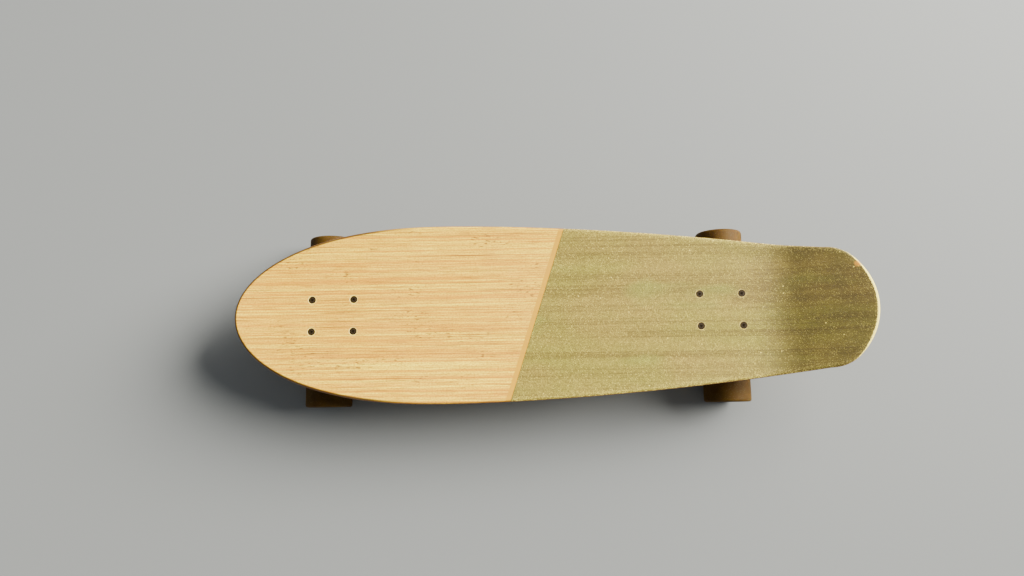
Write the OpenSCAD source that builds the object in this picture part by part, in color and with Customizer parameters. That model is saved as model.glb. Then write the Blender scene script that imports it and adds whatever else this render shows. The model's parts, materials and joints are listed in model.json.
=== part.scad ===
// Kicktail cruiser skateboard: a laminated deck on two sprung trucks with four
// ball-bearing wheels. +X points to the nose, +Z is up, and the origin is on
// the ground below the middle of the deck. Sizes are in millimetres.

/* [Deck] */
// Overall length of the deck, from nose tip to tail tip
deck_len = 812.8; // [760:0.1:980]
// Width of the deck at its widest point
deck_w = 230; // [185:0.1:280]
// How far ahead of the middle the widest point lies
widest_x = 137; // [110:1:165]
// Fullness of the nose curve, where 2 is an ellipse
nose_power = 2.3; // [2:0.05:2.8]
// Narrowing of each side, 500 mm behind the widest point
taper_in = 38.5; // [20:0.5:48]
// Power of the curve that narrows the sides
taper_power = 1.75; // [1.4:0.05:2.2]
// Radius of the curved end of the tail
tail_end_r = 91; // [78:1:110]
// Radius of the two corners of the tail
tail_corner_r = 44; // [30:1:52]
// Thickness of one veneer
ply_t = 1.57; // [1.2:0.01:2]
// Width of the flat band down the middle of the deck
flat_w = 80; // [60:1:120]
// How far the edges of the widest point rise above the flat band
concave_rise = 4.5; // [0:0.1:8]
// Radius of the rounded edge of the deck
edge_r = 3.5; // [1:0.1:5]

/* [Kicktail and nose] */
// Length of the kicktail, from the bend to the tail tip
kick_len = 127; // [90:1:150]
// Slope of the kicktail, in degrees
kick_angle = 18; // [8:0.5:24]
// Radius of the bend at the kicktail
kick_bend_r = 120; // [60:1:160]
// Length of the slight upturn at the nose
nose_lift_len = 76; // [50:1:80]
// Rise of the nose tip
nose_lift = 3; // [0:0.5:8]

/* [Grip coat] */
// Thickness of the grit coat on the rear part of the deck
coat_t = 0.4; // [0.2:0.1:1]
// Where the front edge of the coat crosses the centre line
coat_edge_x = 14; // [-60:1:80]
// Slant of that edge, in degrees from straight across
coat_slant = 18; // [-30:1:30]

/* [Truck places] */
// Nose tip to the centre of the front bolt pattern
nose_overhang = 126.9; // [120:0.1:150]
// Tail tip to the centre of the rear bolt pattern
tail_overhang = 185.9; // [175:0.1:220]
// Bolt pattern, hole to hole along the board
bolt_pitch_x = 53.98; // [50:0.01:64]
// Bolt pattern, hole to hole across the board
bolt_pitch_y = 41.28; // [38:0.01:48]
// Thickness of the riser pad
riser_t = 3; // [1:0.5:12]

/* [Deck bolts] */
// Diameter of a deck bolt's thread
bolt_d = 4.83; // [4:0.01:6]
// Diameter of a deck bolt's plain grip, and of its thread within the nut
bolt_grip_d = 4.31; // [3.6:0.01:5.5]
// Thread of a deck bolt that shows past its nut
bolt_tail = 6.76; // [2:0.01:14]
// Diameter of a deck bolt's countersunk head
bolt_head_d = 9.4; // [8:0.1:11]
// Across flats of a deck bolt's nut
bolt_nut_af = 9.5; // [8:0.1:10]
// Height of a deck bolt's nut
bolt_nut_h = 5; // [3:0.1:6]

/* [Baseplate] */
// Length of the baseplate
base_len = 82; // [78:1:92]
// Width of the baseplate
base_w = 55; // [53:1:66]
// Thickness of the baseplate's flange
base_t = 6; // [4:0.1:8]
// Height from the baseplate's mounting face down to the axle
truck_h = 57; // [54:0.5:69]

/* [Steering] */
// Steering pivot, outboard of the bolt pattern's centre
pivot_out = 28; // [24:0.5:32]
// Steering pivot, below the mounting face
pivot_down = 10.5; // [10:0.5:14]
// Centre of the yoke ring, inboard of the bolt pattern's centre
ring_in = 13; // [10:0.5:16]
// Centre of the yoke ring, below the mounting face
ring_down = 33.5; // [32:0.5:36]
// Lean of the kingpin away from upright, in degrees
kingpin_lean = 14; // [8:1:20]
// Diameter of the kingpin
kingpin_d = 9.525; // [8:0.005:10]
// Diameter of the bushings
bushing_d = 28.4; // [23.5:0.1:29]
// Height of the upper bushing
upper_bushing_h = 15; // [13:0.5:15.5]
// Height of the lower bushing
lower_bushing_h = 14; // [10:0.5:16]
// Radius of the ball end of the steering pivot
pivot_r = 6.4; // [5:0.1:6.6]

/* [Axles] */
// Axle, outboard of the bolt pattern's centre
axle_out = 20; // [16:0.5:24]
// Diameter of the axle
axle_d = 7.94; // [7.9:0.01:7.96]
// Width of the hanger, between its end faces
hanger_w = 156; // [127:1:190]

/* [Wheels] */
// Diameter of a wheel
wheel_d = 62; // [56:1:74]
// Width of a wheel
wheel_w = 51; // [42:1:62]
// Radius of a wheel's rounded lips
wheel_lip_r = 4; // [2:0.5:8]
// Width of the flat ring around a wheel's dish
wheel_face_w = 5; // [2:0.5:7]
// Outer diameter of a bearing
bearing_od = 22; // [21:0.1:24]
// Width of a bearing
bearing_w = 7; // [7:0.1:8]
// Gap between a wheel's two bearings
spacer_len = 10; // [8:0.1:12]
// Diameter of a bearing ball
ball_d = 3.969; // [3.5:0.001:4]
// Balls in one bearing
ball_count = 7; // [6:1:8]

/* [Hidden] */
$fn = 96;
over = 1;             // how far a cut runs past the solid it cuts
running = 0.03;       // radial clearance of a running fit
seat_gap = 0.02;      // radial clearance of a pressed or glued seat
hole_gap = 0.3;       // radial clearance of a bolt in its hole

// deck
ply_count = 7;
deck_t = ply_count * ply_t;
half_len = deck_len / 2;
half_w = deck_w / 2;
flat_half = flat_w / 2;
edge_margin = 12;     // how far the slabs reach past the outline before it trims them
taper_span = 500;     // distance over which taper_in is stated
nose_steps = 15;
side_steps = 28;
corner_steps = 7;
end_steps = 5;
bend_steps = 6;
concave_steps = 4;
lift_steps = 4;

// heights, from the ground up
axle_z = wheel_d / 2;
plate_z = axle_z + truck_h;
deck_under_z = plate_z + riser_t;
deck_top_z = deck_under_z + deck_t;
bolt_len = deck_t + riser_t + base_t + bolt_nut_h + bolt_tail;

// places along the board
bend_x = -half_len + kick_len;
front_x = half_len - nose_overhang;
rear_x = -half_len + tail_overhang;
lift_x = half_len - nose_lift_len;

// steering axis, from the ring's centre up and outboard to the pivot
axis_run = pivot_out + ring_in;
axis_rise = ring_down - pivot_down;
axis_len = norm([axis_run, axis_rise]);
axis_angle = atan2(axis_rise, axis_run);

// stack along the kingpin, measured from the ring's centre towards the nut
ring_r = bushing_d / 2 + 3;
ring_t = 10;
ring_seat = 2;        // depth of the bushing's seat in each side of the ring
ring_bore_r = kingpin_d / 2 + 3.2;
washer_t = 1.5;
washer_gap = 0.15;    // radial gap of a washer on the kingpin
seat_face = ring_t / 2 - ring_seat;
upper_end = -seat_face - upper_bushing_h;
boss_face = upper_end - washer_t;
lower_end = seat_face + lower_bushing_h;
nut_face = lower_end + washer_t;
kingpin_nut_af = 14.3;
kingpin_nut_h = 10;
kingpin_tail = 2;     // thread that shows past the nut
boss_floor = 6;       // metal between the kingpin's head and the washer
head_t = 6;
head_face = boss_face - boss_floor;
boss_r = bushing_d / 2 + 1;
waist = 1;            // how far the upper bushing narrows at its ends
cone_r = bushing_d / 2 - 3;

// pivot cup
cup_wall = 2.4;
cup_r = pivot_r + running + cup_wall;
cup_lip = 5;          // how far the cup reaches back past the pivot's centre
cup_boss_r = cup_r + 3.6;

// wheel set, measured outboard from the hanger's end face
speed_washer_t = 1;
hub_w = 2 * bearing_w + spacer_len;
hub_y = hanger_w / 2 + speed_washer_t + hub_w / 2;
axle_nut_af = 12.7;
axle_nut_h = 7;
axle_tail = 1.5;      // thread that shows past the axle nut
axle_half = hub_y + hub_w / 2 + speed_washer_t + axle_nut_h + axle_tail;
bearing_y = (spacer_len + bearing_w) / 2;
bore_r = axle_d / 2 + running;
inner_ring_r = 6.1;
spacer_r = 5.1;
washer_r = 6;
outer_race_r = 8.9;   // inner radius of the outer ring between its shields
shield_outer_r = 9.6;
shield_inner_r = 6.45;
shield_t = 0.35;
shield_in = 0.15;     // how far a shield sits inside the ring's face
pitch_r = 7.5;
race_gap = 0.06;
groove_r = ball_d / 2 + race_gap;
cage_inner_r = 6.6;
cage_outer_r = 8.4;
cage_back = 2.75;
cage_front = 0.8;
pocket_r = ball_d / 2 + 0.12;
shoulder_r = bearing_od / 2 - 1.6;
dish_inner_r = bearing_od / 2 + 1;
dish_outer_r = wheel_d / 2 - wheel_lip_r - wheel_face_w;

// trucks: name, place along the board, turn about Z that puts outboard outwards
TRUCKS = [["front", front_x, 0], ["rear", rear_x, 180]];
SIDES = [["left", 1], ["right", -1]];
TRUCK_PARTS = ["riser_pad", "baseplate", "pivot_cup", "kingpin", "kingpin_nut",
    "bushing_washers", "upper_bushing", "lower_bushing", "deck_bolts", "deck_nuts",
    "hanger", "axle", "inner_rings", "bearing_spacers", "speed_washers", "axle_nuts"];
WHEEL_PARTS = ["wheel", "outer_rings", "bearing_shields", "bearing_balls", "bearing_cages"];
PLIES = ["bottom_veneer", "ply_2", "ply_3", "ply_4", "ply_5", "ply_6", "top_veneer"];

// ---- deck surface and outline ----

// height of the kicktail at a distance d behind the bend
function kick_rise(d) =
    let (bend_run = kick_bend_r * sin(kick_angle))
    d <= 0 ? 0
    : d < bend_run ? kick_bend_r - sqrt(kick_bend_r ^ 2 - d ^ 2)
    : kick_bend_r * (1 - cos(kick_angle)) + (d - bend_run) * tan(kick_angle);

function nose_rise(x) = x <= lift_x ? 0 : nose_lift * ((x - lift_x) / nose_lift_len) ^ 2;

function concave(y) =
    let (out = (abs(y) - flat_half) / (half_w - flat_half))
    out <= 0 ? 0 : concave_rise * out ^ 2;

function deck_rise(x, y) = kick_rise(bend_x - x) + nose_rise(x) + concave(y);

// half-width of the deck behind its widest point
function side_y(x) = half_w - taper_in * ((widest_x - x) / taper_span) ^ taper_power;

// the tail's corner is an arc that meets the curved end and the side
corner_side_y = side_y(-half_len + tail_corner_r);
corner_y = corner_side_y - tail_corner_r;
end_x = -half_len + tail_end_r;
corner_x = end_x - sqrt(max((tail_end_r - tail_corner_r) ^ 2 - corner_y ^ 2, 0));
corner_turn = atan2(corner_y, end_x - corner_x);
side_turn = 84;       // the corner arc starts a little after the side ends

// one side of the outline, from the nose tip round to the tail tip
left_outline = [
    for (i = [0:nose_steps]) let (a = 90 * i / nose_steps)
        [widest_x + (half_len - widest_x) * cos(a) ^ (2 / nose_power), half_w * sin(a)],
    for (i = [1:side_steps]) let (x = widest_x + (corner_x - widest_x) * i / side_steps)
        [x, side_y(x) - max(side_y(corner_x) - corner_side_y, 0) * (i / side_steps) ^ 2],
    for (i = [0:corner_steps]) let (a = side_turn + (corner_turn - side_turn) * i / corner_steps)
        [corner_x - tail_corner_r * cos(a), corner_y + tail_corner_r * sin(a)],
    for (i = [1:end_steps]) let (a = corner_turn * (1 - i / end_steps))
        [end_x - tail_end_r * cos(a), tail_end_r * sin(a)]
];

left_count = len(left_outline);
full_outline = [
    each left_outline,
    for (i = [left_count - 2:-1:1]) [left_outline[i].x, -left_outline[i].y]
];

// the outline moved in by a distance, along its own normals
function inset_outline(inset) =
    let (n = len(full_outline))
    [for (i = [0:n - 1])
        let (before = full_outline[(i + n - 1) % n], after = full_outline[(i + 1) % n],
            run = after - before, out = [run.y, -run.x] / norm(run))
        full_outline[i] - out * inset];

// how far the rounded edge is cut back at a height within the deck
function edge_inset(height) =
    let (near = min(height, deck_t - height), depth = edge_r - near)
    near >= edge_r ? 0 : edge_r - sqrt(edge_r ^ 2 - depth ^ 2);

slab_xs = [
    -half_len - edge_margin,
    for (i = [bend_steps:-1:0]) bend_x - kick_bend_r * sin(kick_angle * i / bend_steps),
    for (i = [0:lift_steps]) lift_x + nose_lift_len * i / lift_steps,
    half_len + edge_margin
];
half_ys = [for (i = [0:concave_steps])
    flat_half + (half_w - flat_half) * i / concave_steps, half_w + edge_margin];
slab_ys = [for (i = [len(half_ys) - 1:-1:0]) -half_ys[i], each half_ys];

// a layer of the deck before it is trimmed: both faces follow the deck's surface
module slab(low, high) {
    nx = len(slab_xs);
    ny = len(slab_ys);
    layer = nx * ny;
    points = [for (height = [low, high]) for (x = slab_xs) for (y = slab_ys)
        [x, y, deck_under_z + height + deck_rise(x, y)]];
    under = [for (i = [0:nx - 2]) for (j = [0:ny - 2]) let (k = i * ny + j)
        [k, k + ny, k + ny + 1, k + 1]];
    upper = [for (face = under) [for (k = [3:-1:0]) face[k] + layer]];
    edge = [
        for (j = [0:ny - 1]) j,
        for (i = [1:nx - 1]) i * ny + ny - 1,
        for (j = [ny - 2:-1:0]) (nx - 1) * ny + j,
        for (i = [nx - 2:-1:1]) i * ny
    ];
    n = len(edge);
    walls = [for (i = [0:n - 1]) [edge[i], edge[(i + 1) % n],
        edge[(i + 1) % n] + layer, edge[i] + layer]];
    polyhedron(points, concat(under, upper, walls));
}

module at_deck_bolts() {
    for (truck = TRUCKS, sx = [-1, 1], sy = [-1, 1])
        translate([truck[1] + sx * bolt_pitch_x / 2, sy * bolt_pitch_y / 2, 0]) children();
}

module deck_bolt_holes() {
    head_r = bolt_head_d / 2 + hole_gap;
    at_deck_bolts() {
        translate([0, 0, deck_under_z - over])
            cylinder(r = bolt_d / 2 + hole_gap, h = deck_t + 2 * over);
        translate([0, 0, deck_top_z - head_r])
            cylinder(r1 = 0, r2 = head_r, h = head_r);
        translate([0, 0, deck_top_z])
            cylinder(r = head_r, h = coat_t + over);
    }
}

module deck_layer(low, high, inset) {
    difference() {
        intersection() {
            slab(low, high);
            linear_extrude(height = 3 * deck_top_z) polygon(inset_outline(inset));
        }
        deck_bolt_holes();
    }
}

module ply(index) {
    shades = ["#d8b57c", "#c79a5e", "#d9bb86"];
    shade = index == 0 || index == ply_count - 1 ? "#e1c38c" : shades[index % 3];
    low = index * ply_t;
    color(shade) deck_layer(low, low + ply_t, edge_inset(low + ply_t / 2));
}

// clear grit coat on everything behind the slanting edge
module grip_coat() {
    color("#8c7a3c") intersection() {
        deck_layer(deck_t, deck_t + coat_t, edge_inset(0.2));
        translate([coat_edge_x, 0, 0]) rotate([0, 0, -coat_slant])
            translate([-2 * deck_len, -deck_len, 0])
                cube([2 * deck_len, 2 * deck_len, 3 * deck_top_z]);
    }
}

// ---- truck: x is outboard, z = 0 is the baseplate's mounting face ----

module hexagon(across_flats, height) {
    cylinder(r = across_flats / sqrt(3), h = height, $fn = 6);
}

// z runs along the kingpin, from the ring's centre towards the nut
module along_kingpin() {
    translate([-ring_in, 0, -ring_down]) rotate([0, 180 + kingpin_lean, 0]) children();
}

// z runs up the steering axis, from the ring's centre towards the pivot
module along_steering() {
    translate([-ring_in, 0, -ring_down]) rotate([0, 90 - axis_angle, 0]) children();
}

module below_mounting_face() {
    intersection() {
        children();
        translate([-base_len, -base_w, -2 * truck_h]) cube([2 * base_len, 2 * base_w, 2 * truck_h]);
    }
}

module bolt_spots() {
    for (sx = [-1, 1], sy = [-1, 1])
        translate([sx * bolt_pitch_x / 2, sy * bolt_pitch_y / 2, 0]) children();
}

module plate_outline() {
    corner = 8;
    for (sx = [-1, 1], sy = [-1, 1])
        translate([sx * (base_len / 2 - corner), sy * (base_w / 2 - corner)]) circle(r = corner);
    square([base_len - 2 * corner, base_w], center = true);
    square([base_len, base_w - 2 * corner], center = true);
}

module riser_pad() {
    color("#26231f") difference() {
        linear_extrude(height = riser_t) plate_outline();
        translate([0, 0, -over]) bolt_spots()
            cylinder(r = bolt_d / 2 + hole_gap, h = riser_t + 2 * over);
    }
}

module baseplate() {
    rib_half = 4;
    color("#a9acae") difference() {
        union() {
            translate([0, 0, -base_t]) linear_extrude(height = base_t) plate_outline();
            below_mounting_face() {
                along_kingpin() translate([0, 0, -2 * truck_h])
                    cylinder(r = boss_r, h = 2 * truck_h + boss_face);
            }
            below_mounting_face() {
                along_steering() translate([0, 0, axis_len - cup_lip])
                    cylinder(r = cup_boss_r, h = cup_lip + cup_r + 6);
            }
            translate([0, rib_half, 0]) rotate([90, 0, 0]) linear_extrude(height = 2 * rib_half)
                polygon([[-ring_in, -base_t + 1], [-ring_in + boss_r / 2, -base_t - 5],
                    [pivot_out - cup_boss_r, -base_t - 2], [pivot_out, -base_t + 1]]);
        }
        translate([0, 0, -2 * base_t]) bolt_spots()
            cylinder(r = bolt_d / 2 + hole_gap, h = 2 * base_t + over);
        translate([0, 0, -base_t - 2 * bolt_nut_h]) bolt_spots()
            cylinder(r = bolt_nut_af / 2 + 1.6, h = 2 * bolt_nut_h);
        along_kingpin() {
            translate([0, 0, -2 * truck_h]) cylinder(r = kingpin_d / 2 + seat_gap, h = 2 * truck_h);
            translate([0, 0, -2 * truck_h]) hexagon(kingpin_nut_af + 0.2, 2 * truck_h + head_face);
        }
        along_steering() {
            translate([0, 0, axis_len]) sphere(r = cup_r + seat_gap);
            translate([0, 0, axis_len - cup_lip - over])
                cylinder(r = cup_r + seat_gap, h = cup_lip + over);
        }
    }
}

module pivot_cup() {
    color("#2c2b29") along_steering() translate([0, 0, axis_len]) difference() {
        union() {
            sphere(r = cup_r);
            translate([0, 0, -cup_lip]) cylinder(r = cup_r, h = cup_lip);
        }
        sphere(r = pivot_r + running);
        translate([0, 0, -2 * cup_r]) cylinder(r = pivot_r + running, h = 2 * cup_r);
    }
}

module kingpin() {
    color("#70716f") along_kingpin() {
        translate([0, 0, head_face - head_t]) hexagon(kingpin_nut_af, head_t);
        translate([0, 0, head_face - over])
            cylinder(r = kingpin_d / 2, h = nut_face + kingpin_nut_h + kingpin_tail - head_face + over);
    }
}

module kingpin_nut() {
    color("#8b8c8a") along_kingpin() translate([0, 0, nut_face]) difference() {
        hexagon(kingpin_nut_af, kingpin_nut_h);
        translate([0, 0, -over]) cylinder(r = kingpin_d / 2 + seat_gap, h = kingpin_nut_h + 2 * over);
    }
}

module bushing_washer(radius) {
    difference() {
        cylinder(r = radius, h = washer_t);
        translate([0, 0, -over]) cylinder(r = kingpin_d / 2 + washer_gap, h = washer_t + 2 * over);
    }
}

module bushing_washers() {
    color("#c3c4c2") along_kingpin() {
        translate([0, 0, boss_face]) bushing_washer(bushing_d / 2);
        translate([0, 0, lower_end]) bushing_washer(cone_r + 0.6);
    }
}

module bushing_bore(height) {
    translate([0, 0, -over]) cylinder(r = kingpin_d / 2 + washer_gap, h = height + 2 * over);
}

// barrel: widest at half its height
module upper_bushing() {
    barrel_r = bushing_d / 2;
    color("#b8792c") along_kingpin() translate([0, 0, upper_end]) difference() {
        union() {
            cylinder(r1 = barrel_r - waist, r2 = barrel_r, h = upper_bushing_h / 2);
            translate([0, 0, upper_bushing_h / 2])
                cylinder(r1 = barrel_r, r2 = barrel_r - waist, h = upper_bushing_h / 2);
        }
        bushing_bore(upper_bushing_h);
    }
}

// cone: wide against the ring, narrow against its washer
module lower_bushing() {
    collar = 4;
    color("#b8792c") along_kingpin() translate([0, 0, seat_face]) difference() {
        union() {
            cylinder(r = bushing_d / 2 - 0.3, h = collar);
            translate([0, 0, collar])
                cylinder(r1 = bushing_d / 2 - 0.3, r2 = cone_r, h = lower_bushing_h - collar);
        }
        bushing_bore(lower_bushing_h);
    }
}

// countersunk bolts, heads flush with the deck
module deck_bolts() {
    head_r = bolt_head_d / 2;
    top = riser_t + deck_t;
    socket_af = 3.2;
    socket_deep = 2.4;
    color("#1d1c1b") bolt_spots() translate([0, 0, top]) difference() {
        union() {
            translate([0, 0, -bolt_len]) cylinder(r = bolt_d / 2, h = bolt_tail);
            translate([0, 0, -bolt_len]) cylinder(r = bolt_grip_d / 2, h = bolt_len - over);
            translate([0, 0, -head_r]) cylinder(r1 = 0, r2 = head_r, h = head_r);
        }
        translate([0, 0, -socket_deep]) hexagon(socket_af, socket_deep + over);
    }
}

module deck_nuts() {
    color("#1d1c1b") translate([0, 0, -base_t - bolt_nut_h]) bolt_spots() difference() {
        hexagon(bolt_nut_af, bolt_nut_h);
        translate([0, 0, -over]) cylinder(r = bolt_grip_d / 2 + seat_gap, h = bolt_nut_h + 2 * over);
    }
}

// ---- hanger and axle ----

module at_axle() {
    translate([axle_out, 0, -truck_h]) children();
}

// z runs outboard along the axle on one side
module along_axle(side) {
    at_axle() rotate([-90 * side, 0, 0]) children();
}

module hanger() {
    middle_r = 11;
    end_r = 8;
    middle_half = 22;
    web_half = 7;
    neck_r = pivot_r - 1;
    neck_len = 9;
    arm_half = 14;
    arm_reach = 62;
    arm_t = 8;
    ring_rim = [ring_r * cos(kingpin_lean) - ring_in, -ring_down - ring_r * sin(kingpin_lean)];
    axle_at = [axle_out, -truck_h];
    arm_run = norm(axle_at - ring_rim);
    arm_angle = atan2(ring_rim.y - axle_at.y, axle_at.x - ring_rim.x);
    neck_at = [-ring_in + (axis_len - neck_len) * cos(axis_angle),
        -ring_down + (axis_len - neck_len) * sin(axis_angle)];
    color("#b4b6b7") difference() {
        union() {
            for (side = [-1, 1]) along_axle(side) {
                cylinder(r = middle_r, h = middle_half);
                translate([0, 0, middle_half])
                    cylinder(r1 = middle_r, r2 = end_r, h = hanger_w / 2 - middle_half);
            }
            along_kingpin() translate([0, 0, -ring_t / 2]) cylinder(r = ring_r, h = ring_t);
            along_steering() {
                translate([0, 0, axis_len]) sphere(r = pivot_r);
                translate([0, 0, axis_len - neck_len]) cylinder(r = neck_r, h = neck_len);
            }
            // web from the neck and the ring down to the axle
            translate([0, web_half, 0]) rotate([90, 0, 0]) linear_extrude(height = 2 * web_half)
                polygon([ring_rim + [-2, 5], neck_at + [-2, 4], neck_at + [3, -2],
                    axle_at + [8, 6], axle_at + [-7, 5], ring_rim + [-1, -3]]);
            // arms that spread from the ring to the axle
            translate([ring_rim.x - 3, 0, ring_rim.y]) rotate([0, arm_angle, 0])
                translate([0, 0, -arm_t / 2]) linear_extrude(height = arm_t)
                    polygon([[0, -arm_half], [arm_run + 3, -arm_reach],
                        [arm_run + 3, arm_reach], [0, arm_half]]);
        }
        along_kingpin() {
            translate([0, 0, -ring_t]) cylinder(r = ring_bore_r, h = 2 * ring_t);
            translate([0, 0, seat_face]) cylinder(r = bushing_d / 2 + 0.4, h = ring_t + lower_bushing_h);
            translate([0, 0, -seat_face - ring_t - upper_bushing_h])
                cylinder(r = bushing_d / 2 + 0.4, h = ring_t + upper_bushing_h);
        }
        at_axle() rotate([90, 0, 0]) translate([0, 0, -hanger_w])
            cylinder(r = axle_d / 2 + seat_gap, h = 2 * hanger_w);
    }
}

module axle() {
    chamfer = 0.8;
    color("#8f9192") at_axle() rotate([90, 0, 0]) {
        translate([0, 0, -axle_half + chamfer]) cylinder(r = axle_d / 2, h = 2 * (axle_half - chamfer));
        for (side = [-1, 1]) rotate([90 - 90 * side, 0, 0]) translate([0, 0, axle_half - chamfer])
            cylinder(r1 = axle_d / 2, r2 = axle_d / 2 - chamfer, h = chamfer);
    }
}

// z = 0 is the middle of the wheel's hub, z runs outboard
module at_hubs() {
    for (side = [-1, 1]) along_axle(side) translate([0, 0, hub_y]) children();
}

module at_bearings() {
    for (side = [-1, 1]) translate([0, 0, side * bearing_y]) rotate([90 - 90 * side, 0, 0]) children();
}

module tube(outer, inner, low, high) {
    translate([0, 0, low]) difference() {
        cylinder(r = outer, h = high - low);
        translate([0, 0, -over]) cylinder(r = inner, h = high - low + 2 * over);
    }
}

module ball_groove() {
    rotate_extrude() translate([pitch_r, 0]) circle(r = groove_r);
}

module inner_rings() {
    color("#c9cbcc") at_hubs() at_bearings() difference() {
        tube(inner_ring_r, bore_r, -bearing_w / 2, bearing_w / 2);
        ball_groove();
    }
}

module bearing_spacers() {
    color("#9b9d9e") at_hubs() tube(spacer_r, bore_r, -spacer_len / 2, spacer_len / 2);
}

module speed_washers() {
    color("#b9bbbc") at_hubs() for (side = [0, 1])
        rotate([180 * side, 0, 0]) tube(washer_r, bore_r, hub_w / 2, hub_w / 2 + speed_washer_t);
}

module axle_nuts() {
    low = hub_w / 2 + speed_washer_t;
    color("#9a9c9d") at_hubs() difference() {
        translate([0, 0, low]) hexagon(axle_nut_af, axle_nut_h);
        translate([0, 0, low - over])
            cylinder(r = axle_d / 2 + seat_gap, h = axle_nut_h + 2 * over);
    }
}

// ---- wheel: z = 0 is the middle of the hub, z runs outboard ----

module wheel() {
    face = wheel_w / 2;
    wheel_r = wheel_d / 2;
    lip_x = wheel_r - wheel_lip_r;
    lip_y = face - wheel_lip_r;
    lap = 0.05;       // how far the pieces of the profile run into each other
    // the wall of the dish and the bearing's seat, from the face to the middle
    inside = [
        [dish_outer_r, face],
        [dish_inner_r + 1, hub_w / 2 + 1],
        [dish_inner_r, hub_w / 2],
        [bearing_od / 2 + seat_gap, hub_w / 2],
        [bearing_od / 2 + seat_gap, spacer_len / 2],
        [shoulder_r, spacer_len / 2]
    ];
    below = [for (i = [len(inside) - 1:-1:0]) [inside[i].x, -inside[i].y]];
    color("#a4692a") rotate_extrude() {
        polygon([each inside, each below, [lip_x + lap, -face], [lip_x + lap, face]]);
        translate([lip_x, -lip_y - lap]) square([wheel_lip_r, 2 * (lip_y + lap)]);
        for (side = [-1, 1]) translate([lip_x, side * lip_y]) circle(r = wheel_lip_r);
    }
}

module outer_rings() {
    color("#cfd1d2") at_bearings() difference() {
        tube(bearing_od / 2, outer_race_r, -bearing_w / 2, bearing_w / 2);
        ball_groove();
        for (side = [0, 1]) rotate([180 * side, 0, 0])
            translate([0, 0, bearing_w / 2 - shield_in - shield_t])
                cylinder(r = shield_outer_r, h = bearing_w);
    }
}

module bearing_shields() {
    color("#33363a") at_bearings() for (side = [0, 1]) rotate([180 * side, 0, 0])
        tube(shield_outer_r - seat_gap, shield_inner_r, bearing_w / 2 - shield_in - shield_t,
            bearing_w / 2 - shield_in);
}

module bearing_balls() {
    color("#d5d7d8") at_bearings() for (i = [0:ball_count - 1]) rotate(360 * i / ball_count)
        translate([pitch_r, 0, 0]) sphere(r = ball_d / 2);
}

module bearing_cages() {
    color("#4b4a47") at_bearings() difference() {
        tube(cage_outer_r, cage_inner_r, -cage_back, cage_front);
        for (i = [0:ball_count - 1]) rotate(360 * i / ball_count)
            translate([pitch_r, 0, 0]) sphere(r = pocket_r);
    }
}

// ---- assembly ----

module truck_part(part) {
    if (part == "riser_pad") riser_pad();
    if (part == "baseplate") baseplate();
    if (part == "pivot_cup") pivot_cup();
    if (part == "kingpin") kingpin();
    if (part == "kingpin_nut") kingpin_nut();
    if (part == "bushing_washers") bushing_washers();
    if (part == "upper_bushing") upper_bushing();
    if (part == "lower_bushing") lower_bushing();
    if (part == "deck_bolts") deck_bolts();
    if (part == "deck_nuts") deck_nuts();
    if (part == "hanger") hanger();
    if (part == "axle") axle();
    if (part == "inner_rings") inner_rings();
    if (part == "bearing_spacers") bearing_spacers();
    if (part == "speed_washers") speed_washers();
    if (part == "axle_nuts") axle_nuts();
}

module wheel_part(part) {
    if (part == "wheel") wheel();
    if (part == "outer_rings") outer_rings();
    if (part == "bearing_shields") bearing_shields();
    if (part == "bearing_balls") bearing_balls();
    if (part == "bearing_cages") bearing_cages();
}

module place_truck(truck) {
    translate([truck[1], 0, plate_z]) rotate([0, 0, truck[2]]) children();
}

// left is +Y, whichever way the truck faces
module place_wheel(truck, side) {
    out = truck[2] == 0 ? 1 : -1;
    translate([truck[1] + out * axle_out, side[1] * hub_y, axle_z])
        rotate([-90 * side[1], 0, 0]) children();
}

for (index = [0:ply_count - 1]) ply(index);
grip_coat();
for (truck = TRUCKS) for (part = TRUCK_PARTS)
    place_truck(truck) truck_part(part);
for (truck = TRUCKS) for (side = SIDES) for (part = WHEEL_PARTS)
    place_wheel(truck, side) wheel_part(part);
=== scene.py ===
"""Kicktail cruiser skateboard: a laminated bamboo deck, two sprung kingpin trucks and four
urethane wheels on ball bearings. Metres, +X to the nose, +Z up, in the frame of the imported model."""

import json
import math

import bmesh
import bpy
import numpy as np
from mathutils import Matrix, Vector


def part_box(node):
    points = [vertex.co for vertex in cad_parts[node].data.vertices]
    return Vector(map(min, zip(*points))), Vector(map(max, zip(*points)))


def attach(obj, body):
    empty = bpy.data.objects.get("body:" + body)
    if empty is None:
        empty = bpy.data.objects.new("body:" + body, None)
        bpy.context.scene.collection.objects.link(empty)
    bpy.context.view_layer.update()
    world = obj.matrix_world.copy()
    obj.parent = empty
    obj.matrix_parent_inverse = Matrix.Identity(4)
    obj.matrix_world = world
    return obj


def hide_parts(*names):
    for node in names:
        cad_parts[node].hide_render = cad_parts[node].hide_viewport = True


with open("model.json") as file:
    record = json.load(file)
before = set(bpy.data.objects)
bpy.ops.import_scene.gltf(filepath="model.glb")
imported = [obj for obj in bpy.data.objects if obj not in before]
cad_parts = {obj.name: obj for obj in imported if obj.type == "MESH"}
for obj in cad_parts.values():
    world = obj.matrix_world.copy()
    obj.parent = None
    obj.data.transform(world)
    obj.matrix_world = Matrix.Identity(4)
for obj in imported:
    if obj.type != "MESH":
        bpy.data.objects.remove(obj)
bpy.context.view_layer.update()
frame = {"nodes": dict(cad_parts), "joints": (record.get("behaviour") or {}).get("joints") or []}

MM = 0.001
SMOOTH_ANGLE = math.radians(32)
SHEET_ANGLE = math.radians(45)    # for the deck's sheets
FIXING_ANGLE = math.radians(40)   # for castings and threads
MERGE_GAP = 1e-7

# ---------------------------------------------------------------- sizes taken from the frame

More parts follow.
